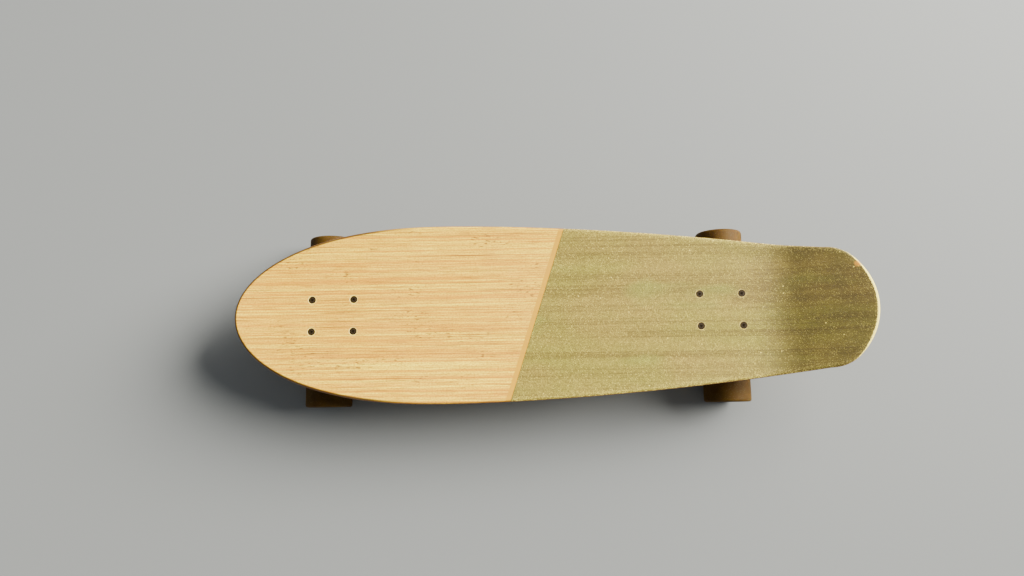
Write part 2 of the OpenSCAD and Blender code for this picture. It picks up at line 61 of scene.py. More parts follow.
deck_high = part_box("ply_4")[1]
top_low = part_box("top_veneer")[0]
under_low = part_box("bottom_veneer")[0]
PLIES = ["bottom_veneer", "ply_2", "ply_3", "ply_4", "ply_5", "ply_6", "top_veneer"]
HALF_LEN = deck_high.x
HALF_W = deck_high.y
DECK_UNDER = under_low.z
PLY_T = (top_low.z - under_low.z) / (len(PLIES) - 1)
DECK_T = PLY_T * len(PLIES)
DECK_TOP = DECK_UNDER + DECK_T

# shape of the deck, as the design has it
WIDEST_X = 137 * MM
NOSE_POWER = 2.3
TAPER_IN = 38.5 * MM
TAPER_POWER = 1.75
TAPER_SPAN = 500 * MM
TAIL_END_R = 91 * MM
TAIL_CORNER_R = 44 * MM
TAIL_CORNER_FROM = math.radians(84)
FLAT_HALF = 40 * MM
CONCAVE_RISE = 4.5 * MM
EDGE_R = 3.5 * MM
KICK_LEN = 127 * MM
KICK_ANGLE = math.radians(18)
KICK_BEND_R = 120 * MM
NOSE_LIFT_LEN = 76 * MM
NOSE_LIFT = 3 * MM
COAT_T = 0.4 * MM
COAT_EDGE_X = 14 * MM
COAT_SLANT = math.radians(18)
COAT_WRAP = math.radians(44)    # how far it goes round the edge
SPINE_ENDS = (75 * MM, 100 * MM)    # from the tail's and the nose's tip to the sheets' inner line
STRIPE_W = 6.6 * MM
BEND_X = -HALF_LEN + KICK_LEN
CHIP_AT = (-0.3855, -0.0520, 0.1310)               # a worn corner of the coat, at the tail
# the kick darkens from the first place to the second: partly scuffing, partly painted shade
KICK_SCUFF_AND_SHADE_FROM, KICK_SCUFF_AND_SHADE_TO = BEND_X + 34 * MM, BEND_X - 36 * MM
NOSE_EDGE_SHADE_FROM, NOSE_EDGE_SHADE_TO = 160 * MM, 240 * MM            # painted shade on the nose's edge
GRIT, FLECKS = 1150.0, 420.0                       # grains and coarse grains to the metre
LIFT_X = HALF_LEN - NOSE_LIFT_LEN

# trucks: heights below the baseplate's mounting face, distances outboard of the bolt pattern
BASE_T = 6 * MM
KINGPIN_LEAN = math.radians(14)
KINGPIN_R = 9.525 / 2 * MM
BUSHING_R = 14.2 * MM
RING_T = 10 * MM
RING_SEAT = 2 * MM
RING_R = BUSHING_R + 3 * MM
UPPER_BUSHING_H = 15 * MM
LOWER_BUSHING_H = 14 * MM
WASHER_T = 1.5 * MM
PIVOT_R = 6.4 * MM
PIVOT_REACH = math.hypot(41 * MM, 23 * MM)
PLATE = (82 * MM, 55 * MM, 9 * MM)    # length, width, corner radius
RISER_T = 3 * MM
RING_BORE_R = 7.9 * MM
HOUSING_R = 11 * MM
COLLAR_R = 7.9 * MM
AXLE_R = 7.94 / 2 * MM
HUB_W = 24 * MM
WHEEL_LIP_R = 4 * MM
WHEEL_FACE_W = 5 * MM
BEARING_R = 11 * MM
BEARING_W = 7 * MM
SPEED_WASHER_T = 1 * MM
AXLE_THREAD = 11 * MM
BALLS = 7
BALL_R = 3.969 / 2 * MM
RACE_R = 7.5 * MM
SHIELD_R = 9.57 * MM
SHIELD_BORE_R = 6.5 * MM
SHIELD_T = 0.3 * MM

# fasteners: across flats, height and nylon collar of the nuts, and thread pitches
KINGPIN_NUT = (14.3 * MM, 10 * MM, 2.4 * MM)
AXLE_NUT = (12.7 * MM, 7 * MM, 1.8 * MM)
DECK_NUT = (9.5 * MM, 5 * MM, 1.3 * MM)
KINGPIN_HEAD_T = 6 * MM
KINGPIN_END = 12 * MM    # how far the kingpin's thread stands past the face under its nut
FINE_PITCH = 1.06 * MM
BOLT_PITCH = 0.79 * MM
FIT = 0.02 * MM          # a close fit, on the radius
BORE_GAP = 0.15 * MM     # between the kingpin and what sits on it
HOLE_GAP = 0.3 * MM      # between a deck bolt and its holes

TRUCKS = {"front": 1, "rear": -1}
SIDES = {"left": 1, "right": -1}


def middle(node):
    low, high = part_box(node)
    return (low + high) / 2


def size(node):
    low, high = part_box(node)
    return high - low


STEER = {j["name"].split("_")[0]: j for j in frame["joints"] if j["name"].endswith("_steer")}
BOLT_HEAD_R = 4.7 * MM
BOLT_R = 2.415 * MM
BOLT_GRIP_R = 2.155 * MM
BOLT_PITCH_X = 53.98 * MM
BOLT_PITCH_Y = 41.28 * MM
PLATE_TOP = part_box("front_baseplate")[1].z
HANGER_HALF = size("front_hanger").y / 2

# ---------------------------------------------------------------- mesh helpers


def mm(x, y, z):
    return Vector((x * MM, y * MM, z * MM))


def new_object(name, mesh):
    obj = bpy.data.objects.new(name, mesh)
    bpy.context.scene.collection.objects.link(obj)
    return obj


def smooth(mesh, angle=SMOOTH_ANGLE):
    mesh.polygons.foreach_set("use_smooth", [True] * len(mesh.polygons))
    mesh.set_sharp_from_angle(angle=angle)


def mesh_object(name, points, faces, place=None, angle=SMOOTH_ANGLE):
    """A mesh object whose doubles are merged and whose faces point outwards."""
    mesh = bpy.data.meshes.new(name)
    mesh.from_pydata([tuple(p) for p in points], [], faces)
    if place is not None:
        mesh.transform(place)
    tidy(mesh)
    smooth(mesh, angle)
    return new_object(name, mesh)


def tidy(mesh):
    work = bmesh.new()
    work.from_mesh(mesh)
    bmesh.ops.remove_doubles(work, verts=work.verts, dist=MERGE_GAP)
    bmesh.ops.dissolve_degenerate(work, edges=work.edges, dist=MERGE_GAP)
    bmesh.ops.recalc_face_normals(work, faces=work.faces)
    work.to_mesh(mesh)
    work.free()


def baked(obj, angle=SMOOTH_ANGLE):
    """The object with its modifiers applied, as a plain mesh."""
    graph = bpy.context.evaluated_depsgraph_get()
    graph.update()
    mesh = bpy.data.meshes.new_from_object(obj.evaluated_get(graph))
    old = obj.data
    obj.modifiers.clear()
    obj.data = mesh
    bpy.data.meshes.remove(old)
    if angle:
        smooth(mesh, angle)
    return obj


def joined(name, objects):
    """One object that holds the meshes of several, which are removed."""
    work = bmesh.new()
    for obj in objects:
        work.from_mesh(obj.data)
    mesh = bpy.data.meshes.new(name)
    work.to_mesh(mesh)
    work.free()
    for obj in objects:
        bpy.data.objects.remove(obj)
    return new_object(name, mesh)


def copied(name, obj, place):
    """A copy of an object under a new name, with its mesh moved."""
    mesh = obj.data.copy()
    mesh.transform(place)
    mesh.update()
    return new_object(name, mesh)


def cut(obj, cutter, operation="DIFFERENCE", keep=False):
    modifier = obj.modifiers.new("cut", "BOOLEAN")
    modifier.object = cutter
    modifier.operation = operation
    modifier.solver = "EXACT"
    baked(obj)
    if not keep:
        bpy.data.objects.remove(cutter)
    return obj


def fillet(profile, steps=5):
    """A closed outline from (x, y, radius) corners, with each corner an arc."""
    points = []
    count = len(profile)
    for i, (x, y, radius) in enumerate(profile):
        here = Vector((x, y))
        if not radius:
            points.append(here)
            continue
        before = (Vector(profile[i - 1][:2]) - here)
        after = (Vector(profile[(i + 1) % count][:2]) - here)
        half = before.angle(after) / 2
        back = min(radius / math.tan(half), before.length * 0.49, after.length * 0.49)
        start = here + before.normalized() * back
        end = here + after.normalized() * back
        for step in range(steps + 1):
            t = step / steps
            points.append(start.lerp(here, t).lerp(here.lerp(end, t), t))
    return points


def turned(name, profile, place=None, segments=96):
    """A body of revolution about Z from a closed outline of (radius, height) points."""
    points, faces = [], []
    count = len(profile)
    for s in range(segments):
        a = 2 * math.pi * s / segments
        points += [(r * math.cos(a), r * math.sin(a), h) for r, h in profile]
    for s in range(segments):
        here, there = s * count, (s + 1) % segments * count
        for i in range(count):
            j = (i + 1) % count
            faces.append((here + i, here + j, there + j, there + i))
    return mesh_object(name, points, faces, place)


def prism(name, outline, low, high, place=None):
    """An outline drawn straight up from one height to another."""
    count = len(outline)
    points = [(x, y, z) for z in (low, high) for x, y in outline]
    faces = [tuple(range(count))[::-1], tuple(range(count, 2 * count))]
    faces += [(i, (i + 1) % count, (i + 1) % count + count, i + count) for i in range(count)]
    return mesh_object(name, points, faces, place)


def bevelled(obj, width, segments=3):
    modifier = obj.modifiers.new("edges", "BEVEL")
    modifier.width = width
    modifier.segments = segments
    modifier.limit_method = "ANGLE"
    modifier.angle_limit = SMOOTH_ANGLE
    return baked(obj)


def thread(name, radius, pitch, low, high, place=None, segments=32):
    """A threaded rod's stretch, with a true helical ridge and a chamfered end."""
    depth = 0.55 * pitch
    rows = max(int((high - low) / pitch * 6), 2)
    points, faces = [], []
    for row in range(rows + 1):
        z = low + (high - low) * row / rows
        end = min(1.0, (high - z) / pitch)
        for s in range(segments):
            phase = (z / pitch - s / segments) % 1.0
            r = radius - depth * abs(2 * phase - 1) * 0.9 - depth * (1 - end) * 0.6
            a = 2 * math.pi * s / segments
            points.append((r * math.cos(a), r * math.sin(a), z))
    for row in range(rows):
        for s in range(segments):
            n = (s + 1) % segments
            faces.append((row * segments + s, row * segments + n,
                          (row + 1) * segments + n, (row + 1) * segments + s))
    faces.append(tuple(range(segments))[::-1])
    faces.append(tuple(rows * segments + s for s in range(segments)))
    return mesh_object(name, points, faces, place, math.radians(60))


def column(radius, low, high):
    """The outline of a plain cylinder, to be turned."""
    return [(0.0, low), (radius, low), (radius, high), (0.0, high)]


def hexagon(across_flats):
    r = across_flats / math.sqrt(3)
    return [(r * math.cos(math.radians(60 * i)), r * math.sin(math.radians(60 * i))) for i in range(6)]


def hex_nut(name, sizes, rod_r, place):
    """A chamfered hexagon nut with the collar of its nylon insert, to go on a rod."""
    across_flats, height, insert_h = sizes
    bore_r = rod_r + FIT
    corner = across_flats / math.sqrt(3)
    flat = across_flats / 2
    slope = (corner - flat) * 0.62
    top = height - insert_h
    body = prism(name, hexagon(across_flats), 0, top)
    barrel = turned("barrel", [(0.0, 0.0), (flat * 0.97, 0.0), (corner * 1.02, slope),
                               (corner * 1.02, top - slope), (flat * 0.97, top), (0.0, top)])
    cut(body, barrel, "INTERSECT")
    cut(body, turned("hole", column(bore_r, -height, 2 * height), segments=48))
    collar_r = flat * 0.93
    lip = 0.25 * insert_h
    outline = [(bore_r, top - lip, 0), (collar_r, top - lip, 0), (collar_r, height, insert_h * 0.6),
               (bore_r + insert_h * 0.4, height, 0), (bore_r, height - lip, 0)]
    body = joined(name, [body, turned("collar", fillet(outline), segments=64)])
    body.data.transform(place)
    smooth(body.data)
    return body


# ---------------------------------------------------------------- material helpers


def srgb(red, green, blue):
    """A colour given as 0 to 255 display values, as scene-linear values."""
    channels = [c / 255 for c in (red, green, blue)]
    return tuple(c / 12.92 if c <= 0.04045 else ((c + 0.055) / 1.055) ** 2.4 for c in channels) + (1.0,)


class Nodes:
    """Adds nodes to a tree: an input given as a socket is linked, and any other value is set."""

    def __init__(self, tree):
        self.tree = tree

    def add(self, kind, inputs=(), **settings):
        node = self.tree.nodes.new(kind)
        for key, value in settings.items():
            setattr(node, key, value)
        for key, value in dict(inputs).items():
            self.feed(node.inputs[key], value)
        return node

    def feed(self, socket, value):
        if isinstance(value, bpy.types.NodeSocket):
            self.tree.links.new(value, socket)
        else:
            socket.default_value = value

    def math(self, operation, a, b=0.0):
        return self.add("ShaderNodeMath", {0: a, 1: b}, operation=operation).outputs[0]

    def plus(self, a, b):
        return self.math("ADD", a, b)

    def minus(self, a, b):
        return self.math("SUBTRACT", a, b)

    def times(self, a, b):
        return self.math("MULTIPLY", a, b)

    def noise(self, vector, scale=1.0, detail=2.0, roughness=0.5):
        node = self.add("ShaderNodeTexNoise",
                        {"Vector": vector, "Scale": scale, "Detail": detail, "Roughness": roughness})
        return node.outputs[0]

    def stretched(self, vector, scale, offset=(0.0, 0.0, 0.0)):
        node = self.add("ShaderNodeMapping", {"Vector": vector, "Scale": scale, "Location": offset})
        return node.outputs[0]

    def streaks(self, vector, scale, detail, roughness=0.5, offset=(0.0, 0.0, 0.0)):
        """Noise that is drawn out along an axis: the smaller its scale there, the longer."""
        return self.noise(self.stretched(vector, scale, offset), 1.0, detail, roughness)

    def ramp(self, value, low, high, to_low=0.0, to_high=1.0):
        span = {"Value": value, "From Min": low, "From Max": high, "To Min": to_low, "To Max": to_high}
        return self.add("ShaderNodeMapRange", span, interpolation_type="SMOOTHSTEP", clamp=True).outputs[0]

    def mix(self, factor, a, b, blend="MIX"):
        node = self.add("ShaderNodeMix", {0: factor, 6: a, 7: b}, data_type="RGBA", blend_type=blend)
        return node.outputs[2]

    def tint(self, color, mask, low, high, most, shade):
        """Lays a shade over a colour, by more as the mask goes from low to high."""
        return self.mix(self.ramp(mask, low, high, 0.0, most), color, shade)

    def split(self, vector):
        return self.add("ShaderNodeSeparateXYZ", {0: vector}).outputs

    def join(self, x, y, z):
        return self.add("ShaderNodeCombineXYZ", {0: x, 1: y, 2: z}).outputs[0]


def shader_group(name, inputs, outputs):
    """An empty shader group with named inputs and outputs; returns its Nodes, inputs and output node."""
    tree = bpy.data.node_groups.new(name, "ShaderNodeTree")
    for label, kind, default in inputs:
        socket = tree.interface.new_socket(label, in_out="INPUT", socket_type=kind)
        if default is not None:
            socket.default_value = default
    for label, kind in outputs:
        tree.interface.new_socket(label, in_out="OUTPUT", socket_type=kind)
    nodes = Nodes(tree)
    entry = nodes.add("NodeGroupInput")
    result = nodes.add("NodeGroupOutput")
    return nodes, entry.outputs, result


def use_group(nodes, tree, inputs):
    node = nodes.add("ShaderNodeGroup", node_tree=tree)
    for key, value in inputs.items():
        nodes.feed(node.inputs[key], value)
    return node.outputs


FLOAT, COLOR, VECTOR = "NodeSocketFloat", "NodeSocketColor", "NodeSocketVector"


def bamboo_grain_group():
    """Straight lengthwise strips, fibres and node marks of laminated bamboo."""
    nodes, given, result = shader_group(
        "bamboo_grain", [("Vector", VECTOR, None), ("Strip width", FLOAT, 0.0062)],
        [("Color", COLOR), ("Streak", FLOAT), ("Height", FLOAT)])
    place = given["Vector"]
    axes = nodes.split(place)

    def strip_tone(width, length, seed):
        """A random tone for each strip, which changes once or twice along the board."""
        row = nodes.math("FLOOR", nodes.math("DIVIDE", axes[1], width))
        joint = nodes.math("FLOOR", nodes.plus(nodes.math("DIVIDE", axes[0], length),
                                               nodes.times(row, 0.37)))
        cell = nodes.join(row, joint, seed)
        return nodes.add("ShaderNodeTexWhiteNoise", {"Vector": cell}, noise_dimensions="3D").outputs["Value"]

    wide = strip_tone(given["Strip width"], 0.9, 1.0)
    narrow = strip_tone(nodes.times(given["Strip width"], 0.31), 0.4, 5.0)
    band = nodes.streaks(place, (1.0, 64.0, 0.0), 4.0, 0.6, (3.0, 1.0, 0.0))
    line = nodes.streaks(place, (2.2, 470.0, 0.0), 3.0, 0.65)
    fibre = nodes.streaks(place, (34.0, 1300.0, 0.0), 2.0, 0.6)
    dark = nodes.plus(nodes.ramp(band, 0.36, 0.66, 0.0, 0.26), nodes.times(wide, 0.26))
    dark = nodes.plus(dark, nodes.times(narrow, 0.42))
    dark = nodes.plus(dark, nodes.ramp(line, 0.42, 0.60, 0.0, 0.80))
    color = nodes.mix(nodes.times(dark, 0.86), srgb(255, 229, 52), srgb(208, 149, 12))
    rosy = nodes.streaks(place, (0.8, 40.0, 0.0), 3.0, 0.6, (0.0, 7.3, 0.0))
    color = nodes.tint(color, rosy, 0.53, 0.68, 0.55, srgb(218, 158, 26))
    color = nodes.tint(color, fibre, 0.42, 0.70, 0.65, srgb(146, 94, 18))
    thread = nodes.streaks(place, (6.0, 640.0, 0.0), 2.0, 0.5, (4.0, 9.0, 0.0))
    color = nodes.tint(color, thread, 0.58, 0.70, 0.88, srgb(118, 72, 14))
    mottle = nodes.streaks(place, (430.0, 620.0, 0.0), 2.0, 0.6, (2.0, 6.0, 0.0))
    color = nodes.tint(color, mottle, 0.38, 0.72, 0.55, srgb(148, 98, 24))
    mark = nodes.streaks(place, (120.0, 420.0, 0.0), 2.0, 0.5, (5.0, 2.0, 0.0))
    gate = nodes.streaks(place, (14.0, 26.0, 0.0), 1.0, 0.5, (1.0, 4.0, 0.0))
    marks = nodes.times(nodes.ramp(mark, 0.58, 0.66), nodes.ramp(gate, 0.54, 0.64, 0.0, 0.80))
    color = nodes.mix(marks, color, srgb(112, 72, 28))
    streak = nodes.plus(nodes.times(line, 0.5), nodes.times(band, 0.35))
    streak = nodes.plus(streak, nodes.times(wide, 0.15))
    nodes.feed(result.inputs["Color"], color)
    nodes.feed(result.inputs["Streak"], streak)
    nodes.feed(result.inputs["Height"], nodes.minus(fibre, nodes.times(marks, 0.6)))
    return nodes.tree


def wear_group():
    """Soft blotches, fine scratches and settled dust, for a worn surface."""
    nodes, given, result = shader_group(
        "wear", [("Vector", VECTOR, None), ("Scale", FLOAT, 60.0), ("Amount", FLOAT, 0.5)],
        [("Blotch", FLOAT), ("Scratch", FLOAT), ("Dust", FLOAT)])
    place = given["Vector"]
    blotch = nodes.noise(place, given["Scale"], 5.0, 0.62)
    turned_place = nodes.add("ShaderNodeMapping", {"Vector": place, "Rotation": (0.4, 0.7, 1.1),
                                                   "Scale": (3.0, 26.0, 3.0)}).outputs[0]
    scratch = nodes.noise(turned_place, given["Scale"], 3.0, 0.7)
    dust = nodes.noise(place, nodes.times(given["Scale"], 14.0), 2.0, 0.5)
    amount = given["Amount"]
    nodes.feed(result.inputs["Blotch"], nodes.times(nodes.ramp(blotch, 0.38, 0.7), amount))
    nodes.feed(result.inputs["Scratch"], nodes.times(nodes.ramp(scratch, 0.60, 0.74), amount))
    nodes.feed(result.inputs["Dust"], nodes.times(nodes.ramp(dust, 0.55, 0.75), amount))
    return nodes.tree


GRAIN = bamboo_grain_group()
WEAR = wear_group()


def start_finish(name, roughness=0.5, **constants):
    """A material with its shader and its object coordinates."""
    material = bpy.data.materials.new(name)
    material.use_nodes = True
    nodes = Nodes(material.node_tree)
    shader = material.node_tree.nodes["Principled BSDF"]
    shader.inputs["Roughness"].default_value = roughness
    for key, value in constants.items():
        shader.inputs[key.replace("_", " ")].default_value = value
    place = nodes.add("ShaderNodeTexCoord").outputs["Object"]
    return material, nodes, shader, place


def bump(nodes, shader, height, strength, distance):
    node = nodes.add("ShaderNodeBump", {"Height": height, "Strength": strength, "Distance": distance})
    nodes.feed(shader.inputs["Normal"], node.outputs[0])


def from_edge(nodes):
    """Distance in metres from the deck's outline, stored on the mesh."""
    return nodes.add("ShaderNodeAttribute", attribute_name="from_edge").outputs["Fac"]


def ahead_of_coat(nodes, place):
    """Distance in metres in front of the grit coat's slanting front edge."""
    axes = nodes.split(place)
    along = nodes.times(nodes.minus(axes[0], COAT_EDGE_X), math.cos(COAT_SLANT))
    return nodes.minus(along, nodes.times(axes[1], math.sin(COAT_SLANT)))


def from_bolt(nodes, place):
    """Distance in metres from the nearest deck bolt's axis."""
    front, rear = (middle(f"{name}_deck_bolts").x for name in TRUCKS)
    axes = nodes.split(place)
    reach = nodes.math("ABSOLUTE", nodes.minus(axes[0], (front + rear) / 2))
    along = nodes.math("ABSOLUTE", nodes.minus(reach, (front - rear) / 2))
    along = nodes.minus(along, BOLT_PITCH_X / 2)
    across = nodes.minus(nodes.math("ABSOLUTE", axes[1]), BOLT_PITCH_Y / 2)
    squares = nodes.plus(nodes.times(along, along), nodes.times(across, across))
    return nodes.math("SQRT", squares)


def bare_ring(nodes, place):
    """Pale bare wood around each countersink."""
    return nodes.ramp(from_bolt(nodes, place), BOLT_HEAD_R + 0.4 * MM, BOLT_HEAD_R + 1.2 * MM, 0.55, 0.0)


def bamboo_finish(name, striped):
    """Lacquered bamboo; rubbing and painted shade darken its edge, the nose's edge most; the top also has the
    stripe and bare rings.
    """
    material, nodes, shader, place = start_finish(name, 0.5, Specular_IOR_Level=0.3, Coat_Weight=0.05,
                                                  Coat_Roughness=0.35)
    grain = use_group(nodes, GRAIN, {"Vector": place})
    color = grain["Color"]
    if striped:
        ahead = ahead_of_coat(nodes, place)
        ragged = nodes.times(nodes.noise(place, 900.0, 2.0), 0.0006)
        ahead = nodes.plus(ahead, nodes.minus(ragged, 0.0003))
        front = nodes.ramp(ahead, STRIPE_W - 0.0003, STRIPE_W + 0.0003, 1.0, 0.0)
        paint = nodes.mix(nodes.noise(place, 260.0, 3.0), srgb(176, 128, 0), srgb(188, 142, 4))
        paint = nodes.tint(paint, grain["Streak"], 0.45, 0.65, 0.26, srgb(154, 104, 0))
        color = nodes.mix(front, color, paint)
        color = nodes.mix(bare_ring(nodes, place), color, srgb(255, 236, 130))
    edge = from_edge(nodes)
    # a patchy darker band along the edge: partly rubbing, partly painted shade of the rounded edge
    rub_and_shade = nodes.times(nodes.ramp(edge, 0.0004, 0.0022, 0.90, 0.0),
                     nodes.ramp(nodes.noise(place, 120.0, 4.0, 0.6), 0.25, 0.6))
    color = nodes.mix(rub_and_shade, color, srgb(120, 78, 34))
    # painted shade on the nose's rounded edge, from the first x to the second
    painted_nose_shade = nodes.times(nodes.ramp(edge, 0.0024, 0.0038, 0.92, 0.0),
                      nodes.ramp(nodes.split(place)[0], NOSE_EDGE_SHADE_FROM, NOSE_EDGE_SHADE_TO))
    color = nodes.mix(painted_nose_shade, color, srgb(58, 34, 12))
    worn = use_group(nodes, WEAR, {"Vector": place, "Scale": 22.0, "Amount": 0.5})
    color = nodes.mix(nodes.times(worn["Blotch"], 0.12), color, srgb(186, 140, 80))
    nodes.feed(shader.inputs["Base Color"], color)
    rough = nodes.ramp(grain["Streak"], 0.3, 0.8, 0.40, 0.56)
    nodes.feed(shader.inputs["Roughness"], nodes.plus(rough, nodes.times(worn["Dust"], 0.3)))
    bump(nodes, shader, grain["Height"], 0.25, 0.0002)
    return material


def core_finish(name, light, dark, turn):
    """A sanded inner ply: end grain or long grain shows at the deck's edge."""
    material, nodes, shader, place = start_finish(name, 0.6)
    stretch = (520.0, 12.0, 520.0) if turn else (12.0, 520.0, 700.0)
    fibre = nodes.streaks(place, stretch, 3.0, 0.6)
    blotch = nodes.streaks(place, (30.0, 30.0, 30.0), 2.0)
    color = nodes.mix(nodes.ramp(fibre, 0.32, 0.7), light, dark)
    color = nodes.tint(color, blotch, 0.45, 0.75, 0.4, srgb(128, 86, 42))
    nodes.feed(shader.inputs["Base Color"], color)
    bump(nodes, shader, fibre, 0.3, 0.0002)
    return material


def coat_finish():
    """Translucent olive grit over the grain with pale grains; scuffs and painted shade on the kick; a cream
    rim of worn coat and painted highlight.
    """
    material, nodes, shader, place = start_finish("grit_coat", 0.66, Specular_IOR_Level=0.2)
    axes = nodes.split(place)
    edge = from_edge(nodes)
    grain = use_group(nodes, GRAIN, {"Vector": place, "Strip width": 0.0086})
    hue = nodes.streaks(place, (5.0, 11.0, 0.0), 3.0, 0.6, (2.0, 0.0, 0.0))
    color = nodes.mix(nodes.ramp(hue, 0.36, 0.66), srgb(131, 123, 42), srgb(141, 122, 50))
    color = nodes.tint(color, grain["Streak"], 0.45, 0.62, 0.66, srgb(90, 74, 28))
    patch = nodes.streaks(place, (7.0, 22.0, 0.0), 2.0, offset=(8.0, 3.0, 0.0))
    color = nodes.tint(color, patch, 0.54, 0.72, 0.60, srgb(128, 132, 50))
    # painted shade with some scuffing: the kick and the grains on it darken towards the tail
    scuff_and_shade = nodes.ramp(axes[0], KICK_SCUFF_AND_SHADE_FROM, KICK_SCUFF_AND_SHADE_TO)
    patchy = nodes.ramp(nodes.noise(place, 34.0, 4.0, 0.6), 0.30, 0.66, 0.75, 1.0)
    scuff_and_shade = nodes.times(scuff_and_shade, patchy)
    color = nodes.mix(scuff_and_shade, color, nodes.mix(1.0, color, srgb(158, 156, 168), "MULTIPLY"))
    # grit: fine cells that differ in tone, with the palest as specks
    cells = nodes.add("ShaderNodeTexVoronoi", {"Vector": place, "Scale": GRIT})
    tone = nodes.split(cells.outputs["Color"])
    color = nodes.tint(color, tone[0], 0.0, 0.9, 0.58, srgb(72, 58, 20))
    near_edge = nodes.ramp(edge, 0.002, 0.009, 0.34, 0.0)
    clump = nodes.ramp(nodes.noise(place, 60.0, 3.0, 0.6), 0.50, 0.74, 0.0, 0.07)
    limit = nodes.minus(nodes.minus(0.93, near_edge), clump)
    speck = nodes.math("GREATER_THAN", tone[1], limit)
    grain_color = nodes.mix(scuff_and_shade, srgb(198, 182, 78), srgb(150, 136, 66))
    color = nodes.mix(nodes.times(speck, 0.42), color, grain_color)
    coarse = nodes.add("ShaderNodeTexVoronoi", {"Vector": place, "Scale": FLECKS})
    fleck = nodes.split(coarse.outputs["Color"])
    bright = nodes.math("GREATER_THAN", fleck[0], nodes.minus(0.9975, nodes.ramp(edge, 0.0, 0.01, 0.05, 0.0)))
    core = nodes.ramp(coarse.outputs["Distance"], 0.22, 0.44, 0.70, 0.0)
    color = nodes.mix(nodes.times(bright, core), color, srgb(232, 212, 104))
    pit = nodes.times(nodes.math("GREATER_THAN", fleck[1], 0.9985), core)
    color = nodes.mix(pit, color, srgb(62, 48, 24))
    color = nodes.mix(bare_ring(nodes, place), color, srgb(190, 170, 100))
    # a pale cream rim round the coat's edge, widest at the tail: partly worn coat, partly painted highlight
    ragged = nodes.times(nodes.noise(place, 420.0, 4.0, 0.7), 0.004)
    tail = nodes.ramp(axes[0], -HALF_LEN + 0.034, -HALF_LEN + 0.006, 0.0, 0.0028)
    rim_reach = nodes.minus(nodes.plus(tail, 0.0028), ragged)
    rim = nodes.math("LESS_THAN", edge, rim_reach)
    color = nodes.mix(nodes.times(rim, 0.90), color, srgb(255, 236, 112))
    gap = nodes.add("ShaderNodeVectorMath", {0: place, 1: CHIP_AT}, operation="DISTANCE").outputs["Value"]
    chip = nodes.plus(gap, nodes.times(nodes.noise(place, 300.0, 3.0), 0.006))
    color = nodes.mix(nodes.ramp(chip, 0.0040, 0.0085, 0.75, 0.0), color, srgb(206, 138, 20))
    nodes.feed(shader.inputs["Base Color"], color)
    nodes.feed(shader.inputs["Roughness"], nodes.ramp(tone[2], 0.0, 1.0, 0.45, 0.78))
    height = nodes.minus(tone[0], cells.outputs["Distance"])
    bump(nodes, shader, height, 0.55, 0.0003)
    return material


def metal_finish(name, light, dark, roughness, grain_scale, cast=False):
    """Cast or machined metal with tumbled texture, fine scratches and settled grime."""
    material, nodes, shader, place = start_finish(name, roughness, Metallic=1.0)
    worn = use_group(nodes, WEAR, {"Vector": place, "Scale": grain_scale, "Amount": 0.8})
    color = nodes.mix(nodes.times(worn["Blotch"], 0.7), light, dark)
    color = nodes.mix(nodes.times(worn["Scratch"], 0.35), color, light)
    nodes.feed(shader.inputs["Base Color"], color)
    rough = nodes.plus(roughness, nodes.times(worn["Blotch"], 0.16))
    nodes.feed(shader.inputs["Roughness"], nodes.minus(rough, nodes.times(worn["Scratch"], 0.1)))
    texture = nodes.noise(place, 1500.0 if cast else 2600.0, 3.0, 0.6)
    bump(nodes, shader, texture, 0.35 if cast else 0.12, 0.00025)
    return material


def painted_finish(name, light, dark, roughness):
    """Black oxide or paint that is rubbed a little brighter in places."""
    material, nodes, shader, place = start_finish(name, roughness, Metallic=0.0, Specular_IOR_Level=0.15)
    worn = use_group(nodes, WEAR, {"Vector": place, "Scale": 160.0, "Amount": 0.9})
    color = nodes.mix(nodes.times(worn["Scratch"], 0.8), dark, light)
    color = nodes.mix(nodes.times(worn["Dust"], 0.25), color, srgb(104, 88, 56))
    nodes.feed(shader.inputs["Base Color"], color)
    nodes.feed(shader.inputs["Roughness"], nodes.plus(roughness, nodes.times(worn["Blotch"], 0.2)))
    bump(nodes, shader, nodes.noise(place, 2200.0, 2.0), 0.15, 0.0002)
    return material


def soft_finish(name, light, dark, roughness, grime, texture_scale, **constants):
    """Moulded urethane, rubber or nylon, with mottling and grime."""
    material, nodes, shader, place = start_finish(name, roughness, **constants)
    worn = use_group(nodes, WEAR, {"Vector": place, "Scale": texture_scale, "Amount": 0.8})
    color = nodes.mix(worn["Blotch"], light, dark)
    color = nodes.mix(nodes.times(worn["Dust"], grime), color, srgb(150, 138, 118))
    nodes.feed(shader.inputs["Base Color"], color)
    nodes.feed(shader.inputs["Roughness"], nodes.plus(roughness, nodes.times(worn["Dust"], 0.25)))
    bump(nodes, shader, nodes.noise(place, 1400.0, 3.0, 0.6), 0.2, 0.0002)
    return material


BAMBOO_TOP = bamboo_finish("bamboo_top", True)
BAMBOO_UNDER = bamboo_finish("bamboo_under", False)
CORE_LIGHT = core_finish("core_light", srgb(204, 160, 92), srgb(168, 120, 62), False)
CORE_DARK = core_finish("core_dark", srgb(150, 104, 54), srgb(112, 72, 34), True)
COAT = coat_finish()
CASTING = metal_finish("tumbled_aluminium", srgb(196, 197, 198), srgb(150, 151, 153), 0.38, 60.0, True)
ZINC = metal_finish("zinc_steel", srgb(198, 198, 196), srgb(150, 150, 148), 0.28, 140.0)
DARK_STEEL = metal_finish("oiled_steel", srgb(128, 126, 122), srgb(82, 80, 77), 0.36, 120.0)
BEARING_STEEL = metal_finish("bearing_steel", srgb(214, 216, 218), srgb(176, 178, 180), 0.18, 200.0)
BLACK_OXIDE = painted_finish("black_oxide", srgb(68, 48, 12), srgb(32, 22, 4), 0.65)
